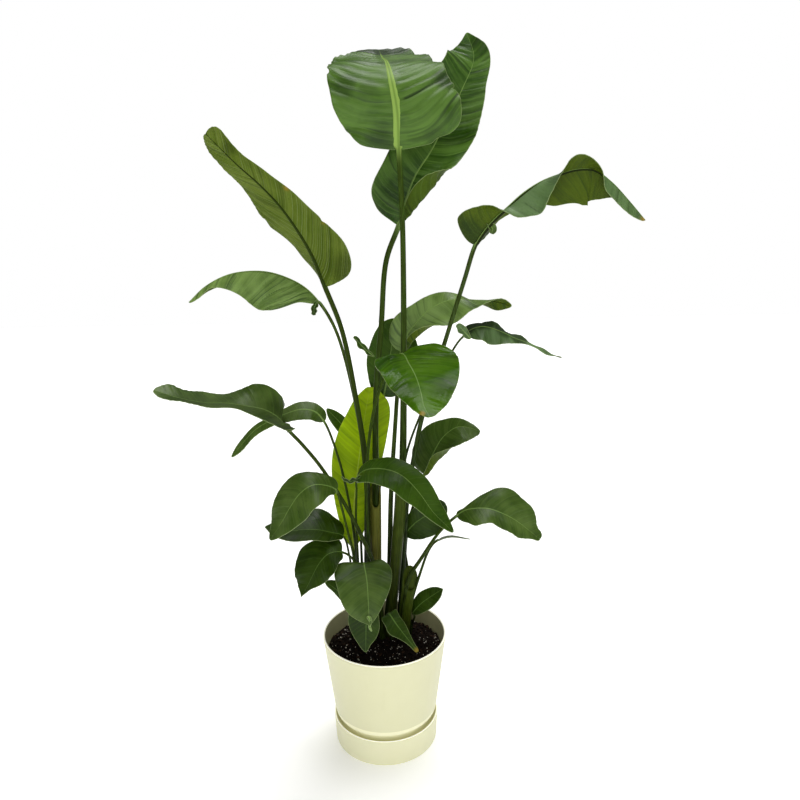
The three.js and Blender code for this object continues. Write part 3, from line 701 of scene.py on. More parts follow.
def along(stations: Sequence[Any], s: np.ndarray) -> np.ndarray:
    """Read evenly spaced stations through a smooth curve.

    Args:
        stations: Numbers or vectors at even steps.
        s: Shares of the way, from 0 to 1.

    Returns:
        The value at each share.
    """
    table = np.asarray(stations, float)
    if len(table) == 1:
        return np.repeat(table, len(s), axis=0)
    t = s * (len(table) - 1)
    i = np.minimum(t.astype(int), len(table) - 2)
    f = t - i
    if table.ndim == 2:
        f = f[:, None]
    a, b = table[np.maximum(i - 1, 0)], table[i]
    c, d = table[i + 1], table[np.minimum(i + 2, len(table) - 1)]
    curve = (2 * a - 5 * b + 4 * c - d) * f**2 + (3 * b - a - 3 * c + d) * f**3
    return 0.5 * (2 * b + (c - a) * f + curve)


def unit(vectors: np.ndarray) -> np.ndarray:
    """Return the vectors at length one."""
    lengths = np.linalg.norm(vectors, axis=-1, keepdims=True)
    return vectors / np.maximum(lengths, 1e-9)


def squared(faces: np.ndarray, ahead: np.ndarray) -> np.ndarray:
    """Return the faces' directions squared against the run ahead."""
    return unit(faces - ahead * np.sum(faces * ahead, axis=-1, keepdims=True))


def smooth(values: np.ndarray) -> np.ndarray:
    """Return a smooth step from 0 to 1 of the values."""
    t = np.clip(values, 0, 1)
    return t * t * (3 - 2 * t)


@dataclass(frozen=True)
class Nick:
    """A small notch in a margin: its side, place along the blade, depth and half length."""

    side: int
    place: float
    depth: float
    length: float = 0.012


@dataclass(frozen=True)
class Spot:
    """A worn spot or a spot of painted shade: its place, radius, depth of colour and how much of it fades
    out.
    """

    place: float
    across: float
    radius: float
    depth: float = 1.0
    soft: float = 0.7


@dataclass(frozen=True)
class Leaf:
    """One leaf, from its foot in the soil to its tip.

    foot is where the stalk leaves the soil, thick its radius there and under the blade, and
    stalk and rib are the points that the stalk and the midrib run through. face is where the
    upper face looks, half the half widths left and right, and left and right the degrees that
    each half is lifted and bent, all at even steps along the midrib. lean is how far the
    margins lie ahead at the base and the tip. ripple is the height in degrees, number and
    start of the margin's waves. round is the share of the blade that each end is rounded over.
    pleats is the height of the folds between side veins and their gap, sweep how far the side
    veins run ahead, and spread how wide the midrib lies. nicks are the margin's notches, worn its
    worn spots, the field after it its spots of painted shade, and a scrap is a torn end without a stalk.
    """

    name: str
    foot: Row
    thick: Row
    stalk: Points
    rib: Points
    face: Points
    half: Points
    left: Points = FLAT
    right: Points = FLAT
    lean: Row = (-0.2, 0.35)
    ripple: Row = (2, 3, 0)
    round: Row = (0.08, 0.12)
    tone: Tone = Tone.DARK
    pleats: Row = (0.75, 12.0)
    sweep: float = 0.3
    nicks: Sequence[Nick] = ()
    worn: Sequence[Spot] = ()
    shaded: Sequence[Spot] = ()
    scrap: bool = False
    spread: float = 0.7


class LeafForm:
    """Works out where the points of a leaf lie, in millimetres."""

    def __init__(self, leaf: Leaf) -> None:
        """Sample the run of the leaf's stalk and midrib."""
        self.leaf = leaf
        self.seed = sum(ord(letter) for letter in leaf.name) * 0.37
        points = np.array([(*leaf.foot, SOIL_TOP + STALK_START), *leaf.stalk, *leaf.rib], float)
        self.places = self._curve(points)
        steps = np.linalg.norm(np.diff(self.places, axis=0), axis=1)
        self.distances = np.concatenate([[0.0], np.cumsum(steps)])
        self.join = self.distances[(len(leaf.stalk) + 1) * STEPS_A_SPAN]
        self.length = self.distances[-1] - self.join

    @staticmethod
    def _curve(points: np.ndarray) -> np.ndarray:
        """Run a smooth curve through points that lie at uneven gaps.

        Args:
            points: The points.

        Returns:
            The samples along the curve.
        """
        ends = [2 * points[0] - points[1], *points, 2 * points[-1] - points[-2]]
        samples = []
        for a, b, c, d in zip(ends, ends[1:], ends[2:], ends[3:]):
            g0, g1, g2 = (math.sqrt(np.linalg.norm(q - p)) for p, q in ((a, b), (b, c), (c, d)))
            leave = ((b - a) / g0 - (c - a) / (g0 + g1) + (c - b) / g1) * g1
            arrive = ((c - b) / g1 - (d - b) / (g1 + g2) + (d - c) / g2) * g1
            t = (np.arange(STEPS_A_SPAN) / STEPS_A_SPAN)[:, None]
            square = (3 * (c - b) - 2 * leave - arrive) * t**2
            samples.append(b + leave * t + square + (2 * (b - c) + leave + arrive) * t**3)
        return np.concatenate([*samples, points[-1:]])

    def spots(self, distances: np.ndarray) -> tuple[np.ndarray, np.ndarray]:
        """Find places on the run.

        Args:
            distances: Distances from the foot.

        Returns:
            The places and the directions ahead.
        """
        turns = np.gradient(self.places, self.distances, axis=0)
        at, ahead = (
            np.stack([np.interp(distances, self.distances, table[:, k]) for k in range(3)], axis=1)
            for table in (self.places, turns)
        )
        return at, unit(ahead)

    def half_width(self, side: int, s: np.ndarray) -> np.ndarray:
        """Return the half widths of one side at shares s, rounded off at both ends."""
        base, tip = self.leaf.round
        inward = np.clip(np.minimum(s / base, (1 - s) / tip), 0, 1)
        return along(self.leaf.half[side], s) * np.sqrt(1 - (1 - inward) ** 2)

    def widths(self, s: np.ndarray, v: np.ndarray) -> np.ndarray:
        """Return the half width that each point of the blade belongs to, by row and column."""
        return np.where(v < 0, self.half_width(0, s)[:, None], self.half_width(1, s)[:, None])

    def frames(self, s: np.ndarray) -> tuple[np.ndarray, np.ndarray, np.ndarray, np.ndarray]:
        """Return places, directions ahead, upper faces and right hands at shares s of the blade."""
        at, ahead = self.spots(self.join + self.length * s)
        face = squared(along(self.leaf.face, s), ahead)
        return at, ahead, face, np.cross(ahead, face)

    def sheet(self, s: np.ndarray, v: np.ndarray) -> np.ndarray:
        """Lay out the middle of the blade.

        Args:
            s: Shares along the midrib, one for each row.
            v: Shares across, from -1 at the left margin to 1 at the right one.

        Returns:
            The points, by row and column.
        """
        at, ahead, face, right = self.frames(s)
        points = np.zeros((len(s), len(v), 3))
        base, tip = self.leaf.lean
        sweep = (base + (tip - base) * np.minimum(s / LEAN_DONE, 1))[:, None]
        swell, waves, start = self.leaf.ripple
        for side, columns in enumerate((v < 0, v >= 0)):
            out = np.abs(v[columns])[None, :] * self._nicked(side, s, np.abs(v[columns]))
            width = self.half_width(side, s)[:, None]
            lifts, bends = self.leaf.right if side else self.leaf.left
            wave = swell * np.sin(FULL_TURN * (waves * s + start + side * SIDE_SHIFT))[:, None] * out
            first = np.radians(along(lifts, s)[:, None] + wave)
            turn = np.radians(along(bends, s))[:, None]
            turn = np.where(np.abs(turn) < 1e-6, 1e-6, turn)
            last = first + turn * np.clip((out - BEND[0]) / (BEND[1] - BEND[0]), 0, 1)
            straight, beyond = np.minimum(out, BEND[0]), np.maximum(out - BEND[1], 0)
            radius = (BEND[1] - BEND[0]) / turn
            reach = straight * np.cos(first) + radius * (np.sin(last) - np.sin(first))
            reach = reach + beyond * np.cos(last)
            rise = straight * np.sin(first) + radius * (np.cos(first) - np.cos(last))
            rise = rise + beyond * np.sin(last)
            hand = 1 if side else -1
            points[:, columns] = (
                at[:, None]
                + right[:, None] * (hand * width * reach)[..., None]
                + face[:, None] * (width * rise)[..., None]
                + ahead[:, None] * (width * out * sweep)[..., None]
            )
        return points

    def _nicked(self, side: int, s: np.ndarray, out: np.ndarray) -> np.ndarray:
        """Return how far each point of a side is drawn in by the notches of its margin."""
        drawn = np.ones((len(s), len(out)))
        for nick in self.leaf.nicks:
            if nick.side == side:
                near = np.maximum(1 - np.abs(s - nick.place) / nick.length, 0)[:, None]
                drawn -= nick.depth * near * out[None, :] ** 6
        return drawn

    def veins(self, s: np.ndarray, v: np.ndarray) -> tuple[np.ndarray, np.ndarray, np.ndarray]:
        """Work out the rows of side veins and the pleats between them.

        Args:
            s: Shares along the midrib, one for each row.
            v: Shares across, from -1 at the left margin to 1 at the right one.

        Returns:
            Distances along the rows and out from the midrib, and the pleats from -1 to 1.
        """
        out = self.widths(s, v) * np.abs(v)
        place = (s * self.length)[:, None]
        run = place - self.leaf.sweep * out * (1 + out / VEIN_BEND)
        phase = run / self.leaf.pleats[1] + self.seed + 0.4 * (v >= 0)
        uneven = np.array([
            [noise.noise((d / UNEVEN_LENGTH, side * 7.1, self.seed)) for side in (0, 1)]
            for d in place[:, 0]
        ])
        phase += 0.9 * np.where(v < 0, uneven[:, :1], uneven[:, 1:])
        sharp = np.arcsin(0.97 * np.sin(FULL_TURN * phase))
        fold = sharp * 0.6 + 0.4 * np.sin(FULL_TURN * phase * 0.37 + 1)
        strength = 0.6 + 0.8 * np.where(v < 0, uneven[:, 1:], uneven[:, :1])
        return run, out, fold * strength * smooth((out - PLEAT_START) / PLEAT_RISE)

    @staticmethod
    def spotted(spots: Sequence[Spot], sheet: np.ndarray, s: np.ndarray, v: np.ndarray) -> np.ndarray:
        """Work out how deep in a spot each point of the blade lies.

        Args:
            spots: The spots.
            sheet: The blade's points, by row and column.
            s: Shares along the midrib, one for each row.
            v: Shares across, one for each column.

        Returns:
            Depths from 0 to 1, by row and column.
        """
        depth = np.zeros(sheet.shape[:2])
        for spot in spots:
            middle = sheet[np.abs(s - spot.place).argmin(), np.abs(v - spot.across).argmin()]
            far = np.linalg.norm(sheet - middle, axis=2) / spot.radius
            depth = np.maximum(depth, spot.depth * (1 - smooth((far - 1 + spot.soft) / spot.soft)))
        return depth

    def rib_radius(self, s: np.ndarray) -> np.ndarray:
        """Return the midrib's radius at shares s of the blade."""
        return TIP_RADIUS + (self.leaf.thick[1] - TIP_RADIUS) * (1 - s) ** 0.8


class LeafMaker:
    """Models and dresses one leaf."""

    # The blade's cells in millimetres, the fewest of them, and the gap in metres that its
    # ends are joined over.
    ACROSS, FEWEST_ACROSS = 2.6, 6
    ALONG, FEWEST_ALONG = 2.4, 30
    END_GAP = 2e-5
    # The stem's sides, the gaps between its rings in millimetres and the fewest of them.
    STEM_SIDES = 14
    STALK_STEP, FEWEST_STALK = 9.0, 8
    RIB_STEP, FEWEST_RIB = 5.0, 12
    GROOVE_DEPTH, GROOVE_WIDTH = 0.3, 0.45

    def __init__(self, leaf: Leaf, patterns: Patterns) -> None:
        """Keep the leaf, its form and the shared patterns."""
        self.leaf = leaf
        self.form = LeafForm(leaf)
        self.patterns = patterns

    def blade(self) -> Shape:
        """Model the blade as a sheet with pleats and a thickness.

        Returns:
            The blade in metres, its upper face on material 0 and its underside on 1.
        """
        widest = max(max(row) for row in self.leaf.half)
        cells = max(round(widest / self.ACROSS), self.FEWEST_ACROSS)
        rows = max(round(self.form.length / self.ALONG), self.FEWEST_ALONG)
        s = (1 - np.cos(np.pi * np.arange(rows + 1) / rows)) / 2
        v = np.arange(-cells, cells + 1) / cells
        sheet = self.form.sheet(s, v)
        run, out, fold = self.form.veins(s, v)
        normal = unit(np.cross(np.gradient(sheet, axis=1), np.gradient(sheet, axis=0)))
        sheet = sheet + normal * (fold * self.leaf.pleats[0] - BLADE / 2)[..., None]
        values = {
            "run": run * MM,
            "out": out * MM,
            "edge": (self.form.widths(s, v) - out) * MM,
            "share": np.repeat(s[:, None], len(v), axis=1),
            "fold": fold,
            "upper": np.ones(fold.shape),
            "worn": self.form.spotted(self.leaf.worn, sheet, s, v),
            "shaded": self.form.spotted(self.leaf.shaded, sheet, s, v),
        }
        shape = shaped_grid(sheet, values)
        ends = [vert for vert in shape.verts if vert.is_boundary]
        bmesh.ops.remove_doubles(shape, verts=ends, dist=self.END_GAP)
        shape.normal_update()
        made = bmesh.ops.extrude_face_region(shape, geom=shape.faces[:], use_keep_orig=True)["geom"]
        over = {item for item in made if isinstance(item, bmesh.types.BMVert)}
        for vert in over:
            vert.co += vert.normal * BLADE * MM
        for face in shape.faces:
            face.smooth = True
            face.material_index = 0 if over.intersection(face.verts) else 1
        return shape

    def stem(self) -> Shape:
        """Model the stalk and the midrib as one round run that thins to the tip.

        Returns:
            The closed stem in metres, on material 2.
        """
        points, share = (
            np.concatenate(pair) for pair in zip(self._stalk_rings(), self._rib_rings())
        )
        turns = np.linspace(0, FULL_TURN, self.STEM_SIDES + 1)
        values = {
            "share": np.repeat(share[:, None], len(turns), axis=1),
            "upper": np.repeat(np.cos(turns)[None, :], len(share), axis=0),
        }
        shape = closed_tube(points, values)
        for face in shape.faces:
            face.material_index = 2
        return shape

    def _ring(
        self, at: np.ndarray, face: np.ndarray, right: np.ndarray, across: float, over: float, under: float
    ) -> np.ndarray:
        """Lay out one ring of the stem.

        Args:
            at: The middle of the ring.
            face: The direction of its upper side.
            right: The direction of its right side.
            across: Its half width.
            over: How far it stands above the middle.
            under: How far it stands below the middle.

        Returns:
            The ring's points, the first one repeated at the end.
        """
        turns = np.linspace(0, FULL_TURN, self.STEM_SIDES + 1)
        up, side = np.cos(turns), np.sin(turns)
        groove = 1 - self.GROOVE_DEPTH * np.exp(-((side / self.GROOVE_WIDTH) ** 2)) * (up > 0)
        heights = np.where(up > 0, over * groove, under) * up
        return at + right * (across * side)[:, None] + face * heights[:, None]

    def _stalk_rings(self) -> tuple[np.ndarray, np.ndarray]:
        """Return the rings of the stalk from its foot up, and their shares from -1 to 0."""
        thick, thin = self.leaf.thick
        count = max(round(self.form.join / self.STALK_STEP), self.FEWEST_STALK)
        shares = np.arange(count) / count
        at, ahead = self.form.spots(self.form.join * shares)
        face = self.form.frames(np.zeros(1))[2][0]
        rings = []
        for i in range(count - 1, -1, -1):
            face = squared(face, ahead[i])
            radius = thin + (thick - thin) * (1 - shares[i]) ** 1.6
            radius *= 1 - STALK_SLIM * math.sin(math.pi * shares[i]) ** 0.5
            rings.insert(0, self._ring(at[i], face, np.cross(ahead[i], face), radius, radius, radius))
        up = np.array([0.0, 0.0, 1.0])
        level = squared(face, up)
        x, y = self.leaf.foot
        for height in (STALK_STRAIGHT, -HOLE_DEPTH):
            foot = np.array([x, y, SOIL_TOP + height])
            rings.insert(0, self._ring(foot, level, np.cross(up, level), thick, thick, thick))
        return np.array(rings), np.concatenate([[-1, -1], shares - 1])

    def _rib_rings(self) -> tuple[np.ndarray, np.ndarray]:
        """Return the rings of the midrib from the blade's base to its tip, and their shares."""
        count = max(round(self.form.length / self.RIB_STEP), self.FEWEST_RIB)
        s = np.arange(count + 1) / count
        at, _, face, right = self.form.frames(s)
        radius = self.form.rib_radius(s)
        widths = np.minimum(self.form.half_width(0, s), self.form.half_width(1, s))
        flat = smooth((widths - 0.4 * radius) / (2 * radius))
        across = radius * (1 + (self.leaf.spread * (1 - 0.5 * s) - 1) * flat)
        over = radius * (1 - flat) + (BLADE / 2 + 0.12 * radius) * flat
        under = radius * (1 + 0.3 * flat)
        rings = [self._ring(*row) for row in zip(at, face, right, across, over, under)]
        end = at[-1:] + self.form.spots(self.form.distances[-1:])[1]
        rings.append(np.repeat(end, self.STEM_SIDES + 1, axis=0))
        return np.array(rings), np.concatenate([s, [1.0]])

    def make(self) -> Piece:
        """Build the leaf and dress it.

        Returns:
            The leaf, which stands for the solid of the same name.
        """
        finish = self.leaf.tone.value
        look = self.leaf.tone.name.lower()
        materials = [
            shared(f"leaf_upper_{look}", lambda name: finish.blade(name, self.patterns)),
            shared(f"leaf_under_{look}", lambda name: finish.blade(name, self.patterns, under=True)),
            shared(f"leaf_stem_{look}", lambda name: finish.stem(name, self.patterns)),
        ]
        shape = self.blade() if self.leaf.scrap else joined(self.blade(), self.stem())
        piece = new_piece(f"{self.leaf.name}_grown", shape, materials)
        nodes = () if self.leaf.scrap else (self.leaf.name,)
        enter(piece, "young_leaf" if self.leaf.tone is Tone.LIME else "leaf", *nodes)
        return piece


# ---------------------------------------------------------------- the leaves
# Each leaf's spots of shade are painted shade: they darken the blade where it curls away or lies in shade.
LEAVES = (
    Leaf(
        name="leaf_top_front", foot=(8, 28), thick=(11, 4.6), tone=Tone.BROAD, ripple=(3, 4, 0),
        lean=(-0.3, 0), stalk=((25, 18, 370), (39, 8, 535), (45, -10, 800), (45, -28, 1030)),
        rib=(
            (40, -40, 1144), (38, -46, 1202), (30, -30, 1251), (24, 12, 1284), (17, 75, 1305),
            (12, 150, 1333),
        ),
        face=((0.05, -1, 0.1), (0, -1, 0.3), (0, -0.4, 1), (0, 0.1, 1)),
        half=(
            (24, 64, 84, 95, 102, 103, 103, 98, 91, 86, 54, 58, 60),
            (24, 61, 98, 104, 100, 92, 90, 83, 82, 75, 62, 62, 60),
        ),
        left=((0, -8, 0, 3, 5), (-10,)), right=((10, 0, 0, 3, 5), (-5,)), pleats=(2.2, 17.0), spread=2.0,
        nicks=(
            Nick(0, 0.53, 0.07), Nick(1, 0.31, 0.08, 0.016), Nick(1, 0.1, 0.08, 0.03),
            Nick(0, 0.97, 0.2, 0.02),
        ),
        shaded=(
            Spot(1.0, 0.0, 64.0, 1.0, 0.15), Spot(0.42, -0.75, 30.0, 0.6),
            Spot(0.05, -0.6, 42.0, 0.75, 0.8), Spot(0.37, 0.9, 26.0, 0.9), Spot(0.36, -0.4, 26.0, 0.4),
            Spot(0.1, 0.9, 26.0, 0.4),
        ),
    ),
    Leaf(
        name="leaf_top_back", foot=(-18, 46), thick=(9.5, 4.8), tone=Tone.SECOND, lean=(-0.3, 0.2),
        stalk=((-14, 34, 392), (-11, 25, 540), (-7, 17, 706), (6, 10, 850), (17, 6, 962)),
        rib=(
            (40, 6, 1022), (49, 4, 1055), (69, 12, 1104), (98, 24, 1147), (127, 40, 1199), (155, 55, 1250),
            (177, 74, 1303), (167, 95, 1348),
        ),
        face=((-0.3, -1, 0.3), (-0.2, -1, 0.3), (-0.2, -1, 0.2)),
        half=((18, 60, 59, 64, 62, 61, 52, 45, 10), (14, 54, 84, 61, 62, 50, 35, 27, 10)),
        left=((20, 20, 10, 10), (10,)),
        right=((0, 5, 5, 0, 0, 0, 5, 5, 5), (170, 165, 110, 30, 20, 10, 0, 0, 0)), pleats=(1.2, 14.0),
        spread=0.9, shaded=(Spot(0.14, -0.5, 60.0, 0.5, 0.9), Spot(0.9, 0.9, 30.0, 0.5, 0.9)),
    ),
    Leaf(
        name="leaf_upper_left", foot=(-36, 32), thick=(8, 4.4), tone=Tone.OLIVE, lean=(-0.3, 0.35),
        stalk=((-30, 18, 430), (-28, 4, 576), (-43, -14, 715), (-64, -30, 845)),
        rib=(
            (-90, -40, 922), (-104, -46, 965), (-123, -52, 1004), (-155, -62, 1054), (-186, -70, 1089),
            (-220, -80, 1121), (-262, -92, 1165),
        ),
        face=((0.6, 0.8, 0.3), (0.4, 0.8, 0.5), (0.3, 0.9, 0.5)),
        half=((25, 61, 67, 52, 39, 32, 25, 21, 18, 21, 32), (8, 17, 36, 47, 62, 60, 49, 37, 34, 33, 25)),
        left=((0, 10, 20, 30), (10, 20, 30, 40)), right=((20, 10, 10, 20), (10,)), pleats=(0.9, 12.0),
        sweep=0.9, nicks=(Nick(0, 0.32, 0.05, 0.02), Nick(1, 0.44, 0.08, 0.03)),
        worn=(Spot(0.53, -0.97, 7.0), Spot(0.31, -0.97, 5.0, 0.5)),
        shaded=(Spot(0.1, -0.85, 40.0, 0.55), Spot(0.86, -0.55, 16.0, 0.5)),
    ),
    Leaf(
        name="leaf_left_arch", foot=(-38, 52), thick=(5.5, 3.2), tone=Tone.PALE, ripple=(5, 4, 0),
        lean=(0, 0.2),
        stalk=((-30, 40, 376), (-30, 30, 526), (-38, 18, 648), (-63, 4, 794), (-80, -3, 850)),
        rib=(
            (-102, -8, 890), (-125, -14, 917), (-151, -22, 934), (-187, -30, 947), (-225, -38, 949),
            (-257, -42, 943), (-293, -44, 925), (-323, -40, 899),
        ),
        face=((-0.2, -0.2, 1), (0, -0.2, 1), (-0.4, -0.2, 1)),
        half=((15, 28, 48, 65, 67, 58, 40, 24, 12, 14, 12), (19, 50, 50, 45, 28, 12, 10)),
        left=((-30, -55, -60, -35, -10), (-15,)), right=((-50, -50, -50), (-20,)), pleats=(1.1, 12.0),
        sweep=0.6,
    ),
    Leaf(
        name="leaf_upper_right", foot=(30, 44), thick=(7, 4.4), tone=Tone.TWISTED, ripple=(0, 3, 0),
        lean=(-0.2, 0.2),
        stalk=((41, 32, 378), (49, 22, 506), (61, 12, 585), (77, 4, 669), (118, -10, 813), (152, -20, 927)),
        rib=(
            (170, -26, 987), (184, -29, 1010), (201, -33, 1030), (222, -36, 1049), (248, -40, 1072),
            (275, -43, 1089), (303, -45, 1100), (333, -48, 1108), (363, -50, 1107), (393, -52, 1087),
            (423, -54, 1057), (452, -56, 1025),
        ),
        face=((-0.6, 0, 0.7), (-0.3, 0, 1), (0, 0, 1), (0.6, 0, 0.7)),
        half=(
            (15, 21, 18, 16, 26, 46, 52, 60, 57, 36, 12, 11, 12),
            (30, 52, 34, 34, 46, 38, 34, 33, 24, 22, 22, 19, 14),
        ),
        left=((-30, -30, -30, -60, -75, -80, -80, -80, -75, -70, -65, -60, -60), (0,)),
        right=((80, 75, 60, -55, -75, -40, 5, 42, 8, -55, -60, -60, -60), (0,)),
        worn=(Spot(1.0, 0.0, 14.0),),
        shaded=(Spot(0.04, -0.6, 36.0, 0.8, 0.6), Spot(0.04, 0.6, 36.0, 0.8, 0.6)),
    ),
    Leaf(
        name="leaf_behind_right", foot=(8, 52), thick=(7, 4), tone=Tone.PALE,
        stalk=((14, 45, 374), (18, 37, 502), (28, 29, 645), (36, 25, 743)),
        rib=(
            (43, 24, 795), (50, 26, 821), (68, 26, 846), (92, 25, 870), (119, 24, 884), (147, 24, 889),
            (177, 24, 887), (208, 24, 885), (244, 22, 875),
        ),
        face=((-0.6, -0.8, 0.3), (-0.5, -0.8, 0.5), (-0.1, -0.6, 0.8), (0, 0.4, 0.9), (0, 0.9, 0.3)),
        half=((19, 37, 26, 21, 18, 20, 8), (25, 40, 50, 46, 32, 22, 8)), left=((20, 20, 0, -20), (0,)),
        right=((-10, -20, -30, -20), (150, 125, 40, 0, 0, 0)), pleats=(0.5, 12.0),
    ),
    Leaf(
        name="leaf_small_right", foot=(16, 70), thick=(4.5, 2.2), tone=Tone.TWISTED, ripple=(10, 4, 0),
        stalk=((26, 62, 364), (36, 54, 494), (49, 46, 585), (72, 36, 657), (113, 20, 751), (144, 12, 810)),
        rib=(
            (155, 10, 823), (167, 9, 834), (190, 4, 841), (221, 2, 832), (248, 0, 819), (277, -1, 808),
            (305, -3, 793), (333, -4, 782),
        ),
        face=((-0.2, 0, 1), (0, 0, 1), (0.2, 0, 1)),
        half=((12, 24, 24, 20, 12, 8), (13, 34, 24, 6, 10, 10)), left=((20, 10, 0), (0,)),
        right=((-10, -60, -30, 10), (0,)),
        shaded=(
            Spot(0.08, -0.5, 22.0, 1.0, 0.35), Spot(0.22, -0.6, 26.0, 1.0, 0.35),
            Spot(0.4, -0.6, 26.0, 1.0, 0.35), Spot(0.55, -0.4, 22.0, 1.0, 0.35),
            Spot(0.35, 0.6, 60.0, 0.35, 0.9),
        ),
    ),
    Leaf(
        name="leaf_heart", foot=(-38, 14), thick=(5, 3), tone=Tone.GLOSSY, ripple=(3, 3, 0),
        lean=(-0.14, 0.35),
        stalk=((-28, 0, 395), (-29, -10, 541), (-21, -22, 640), (-3, -42, 729), (24, -52, 790)),
        rib=(
            (40, -60, 805), (51, -95, 794), (61, -130, 778), (67, -165, 759), (70, -186, 744),
            (78, -205, 731),
        ),
        face=((0, -0.3, 1), (0, -0.4, 1), (0, -0.6, 1)),
        half=((46, 80, 76, 58, 38, 16), (50, 58, 53, 43, 22, 8)), left=((10, 10, 5), (0,)),
        right=((10, 10, 5), (-20,)), pleats=(1.5, 13.0), worn=(Spot(0.92, 0.75, 7.0),),
        shaded=(
            Spot(0.62, 0.75, 44.0, 0.6, 0.9), Spot(0.62, -0.75, 44.0, 0.6, 0.9),
            Spot(0.1, 0.5, 20.0, 0.3, 0.9),
        ),
    ),
    Leaf(
        name="leaf_behind_left", foot=(-6, 68), thick=(4.5, 3),
        stalk=((-10, 63, 365), (-3, 61, 535), (2, 59, 640)),
        rib=((8, 56, 702), (17, 57, 743), (23, 58, 788), (34, 58, 850)), face=((0, -1, 0.2), (0, -1, 0.3)),
        half=((20, 36, 44, 40, 31, 14), (20, 34, 48, 50, 32, 14)), left=((0, 5), (5,)),
        right=((0, 5), (5,)),
    ),
    Leaf(
        name="leaf_young", foot=(-54, 60), thick=(5, 3.6), tone=Tone.LIME, lean=(0, 0.35),
        stalk=((-56, 54, 306),),
        rib=(
            (-59, 44, 395), (-57, 44, 464), (-49, 44, 537), (-37, 44, 619), (-26, 44, 683), (-18, 44, 723),
        ),
        face=((0, -1, 0.1), (0.1, -1, 0.1), (0, -1, 0.1)),
        half=((13, 28, 43, 52, 47, 31, 14), (13, 28, 36, 44, 48, 46, 26)), left=((5, 5), (0,)),
        pleats=(0.3, 9.0),
    ),
    Leaf(
        name="leaf_mid_left", foot=(-4, 12), thick=(6.5, 3.6), tone=Tone.PLAIN, ripple=(4, 3, 0),
        stalk=((-12, -6, 358), (-36, -21, 439), (-69, -29, 517), (-109, -33, 591), (-141, -35, 636)),
        rib=(
            (-166, -36, 666), (-181, -42, 690), (-204, -48, 707), (-234, -54, 716), (-266, -58, 723),
            (-304, -58, 725), (-349, -54, 733), (-395, -48, 747),
        ),
        face=((-0.4, -0.1, 1), (0, 0, 1), (0, 0, 1)),
        half=((22, 52, 60, 55, 42, 34, 22, 20, 22, 18, 12), (40, 50, 50, 50, 45, 44, 44, 42, 36, 27, 14)),
        left=((-20, 0, 0, 0, -10), (0,)), right=((20, 45, 10, 10, 30), (0,)),
        shaded=(
            Spot(0.15, 0.4, 34.0, 0.6, 0.9), Spot(0.72, -0.6, 70.0, 0.5, 0.9),
            Spot(0.45, 0.9, 40.0, 0.4, 0.9),
        ),
    ),
    Leaf(
        name="leaf_mid_left_back", foot=(-56, 42), thick=(4, 2.4), tone=Tone.PLAIN, ripple=(3, 3, 0),
        stalk=((-52, 36, 300), (-52, 32, 379), (-68, 22, 528), (-87, 16, 616)),
        rib=(
            (-105, 12, 667), (-121, 12, 686), (-145, 12, 691), (-175, 12, 683), (-209, 12, 668),
            (-236, 12, 651), (-281, 12, 601),
        ),
        face=((-0.2, -0.5, 1), (-0.2, -0.5, 1), (-0.6, -0.5, 0.7)),
        half=((11, 23, 22, 15, 13, 12, 6), (11, 19, 15, 10, 10, 10, 6)), left=((-10, -10), (0,)),
        right=((10, 10), (0,)),
    ),
    Leaf(
        name="leaf_back_left", foot=(-36, 70), thick=(4, 2.2), lean=(-0.1, 0.35),
        stalk=((-42, 68, 295), (-45, 64, 447)), rib=((-49, 60, 562), (-61, 62, 624), (-102, 58, 679)),
        face=((-0.4, -0.8, 0.4), (-0.4, -0.5, 0.8)), half=((8, 15, 16, 15, 12, 5), (8, 15, 16, 15, 12, 5)),
    ),
    Leaf(
        name="leaf_centre_arch", foot=(-52, 22), thick=(3.6, 2.2), ripple=(3, 4, 0),
        stalk=((-49, 8, 360), (-50, -6, 479), (-47, -22, 540)),
        rib=(
            (-45, -34, 570), (-31, -46, 588), (-6, -62, 597), (23, -80, 597), (43, -92, 588),
            (67, -108, 565), (89, -120, 535), (123, -132, 502),
        ),
        face=((-0.4, -0.4, 1), (0, -0.6, 1), (0.4, -0.6, 0.8)),
        half=((12, 25, 28, 29, 27, 20, 8), (16, 35, 38, 37, 25, 14, 8)), left=CUPPED, right=CUPPED,
    ),
    Leaf(
        name="leaf_low_left_upper", foot=(-52, 8), thick=(4, 2.4), tone=Tone.PLAIN, ripple=(3, 3, 0),
        stalk=((-54, -9, 381), (-68, -28, 474), (-76, -42, 523)),
        rib=(
            (-83, -50, 553), (-103, -60, 567), (-124, -70, 571), (-145, -79, 560), (-163, -86, 537),
            (-181, -90, 507), (-201, -94, 479),
        ),
        face=((-0.2, -0.5, 0.8), (-0.2, -0.6, 0.8), (-0.6, -0.6, 0.5)),
        half=((14, 23, 43, 50, 46, 37, 28, 16, 8), (20, 27, 30, 40, 40, 35, 29, 16, 8)), left=CUPPED,
        right=CUPPED,
    ),
    Leaf(
        name="leaf_low_left_middle", foot=(-66, 28), thick=(3.6, 2.2), tone=Tone.DEEP, ripple=(3, 3, 0),
        stalk=((-61, 14, 324), (-66, 4, 399)),
        rib=(
            (-76, -8, 443), (-98, -13, 453), (-124, -19, 462), (-150, -24, 465), (-183, -30, 466),
            (-219, -34, 477),
        ),
        face=((-0.2, -0.4, 1), (-0.1, -0.4, 1)), half=((13, 25, 32, 29, 21, 5), (25, 50, 52, 36, 22, 6)),
        left=CUPPED, right=CUPPED,
    ),
    Leaf(
        name="leaf_low_left_lower", foot=(-40, 0), thick=(3.6, 2.2), tone=Tone.DEEP, ripple=(3, 3, 0),
        stalk=((-42, -18, 339), (-55, -32, 403)),
        rib=(
            (-77, -42, 426), (-101, -50, 427), (-118, -58, 413), (-131, -65, 392), (-142, -70, 371),
            (-154, -74, 353),
        ),
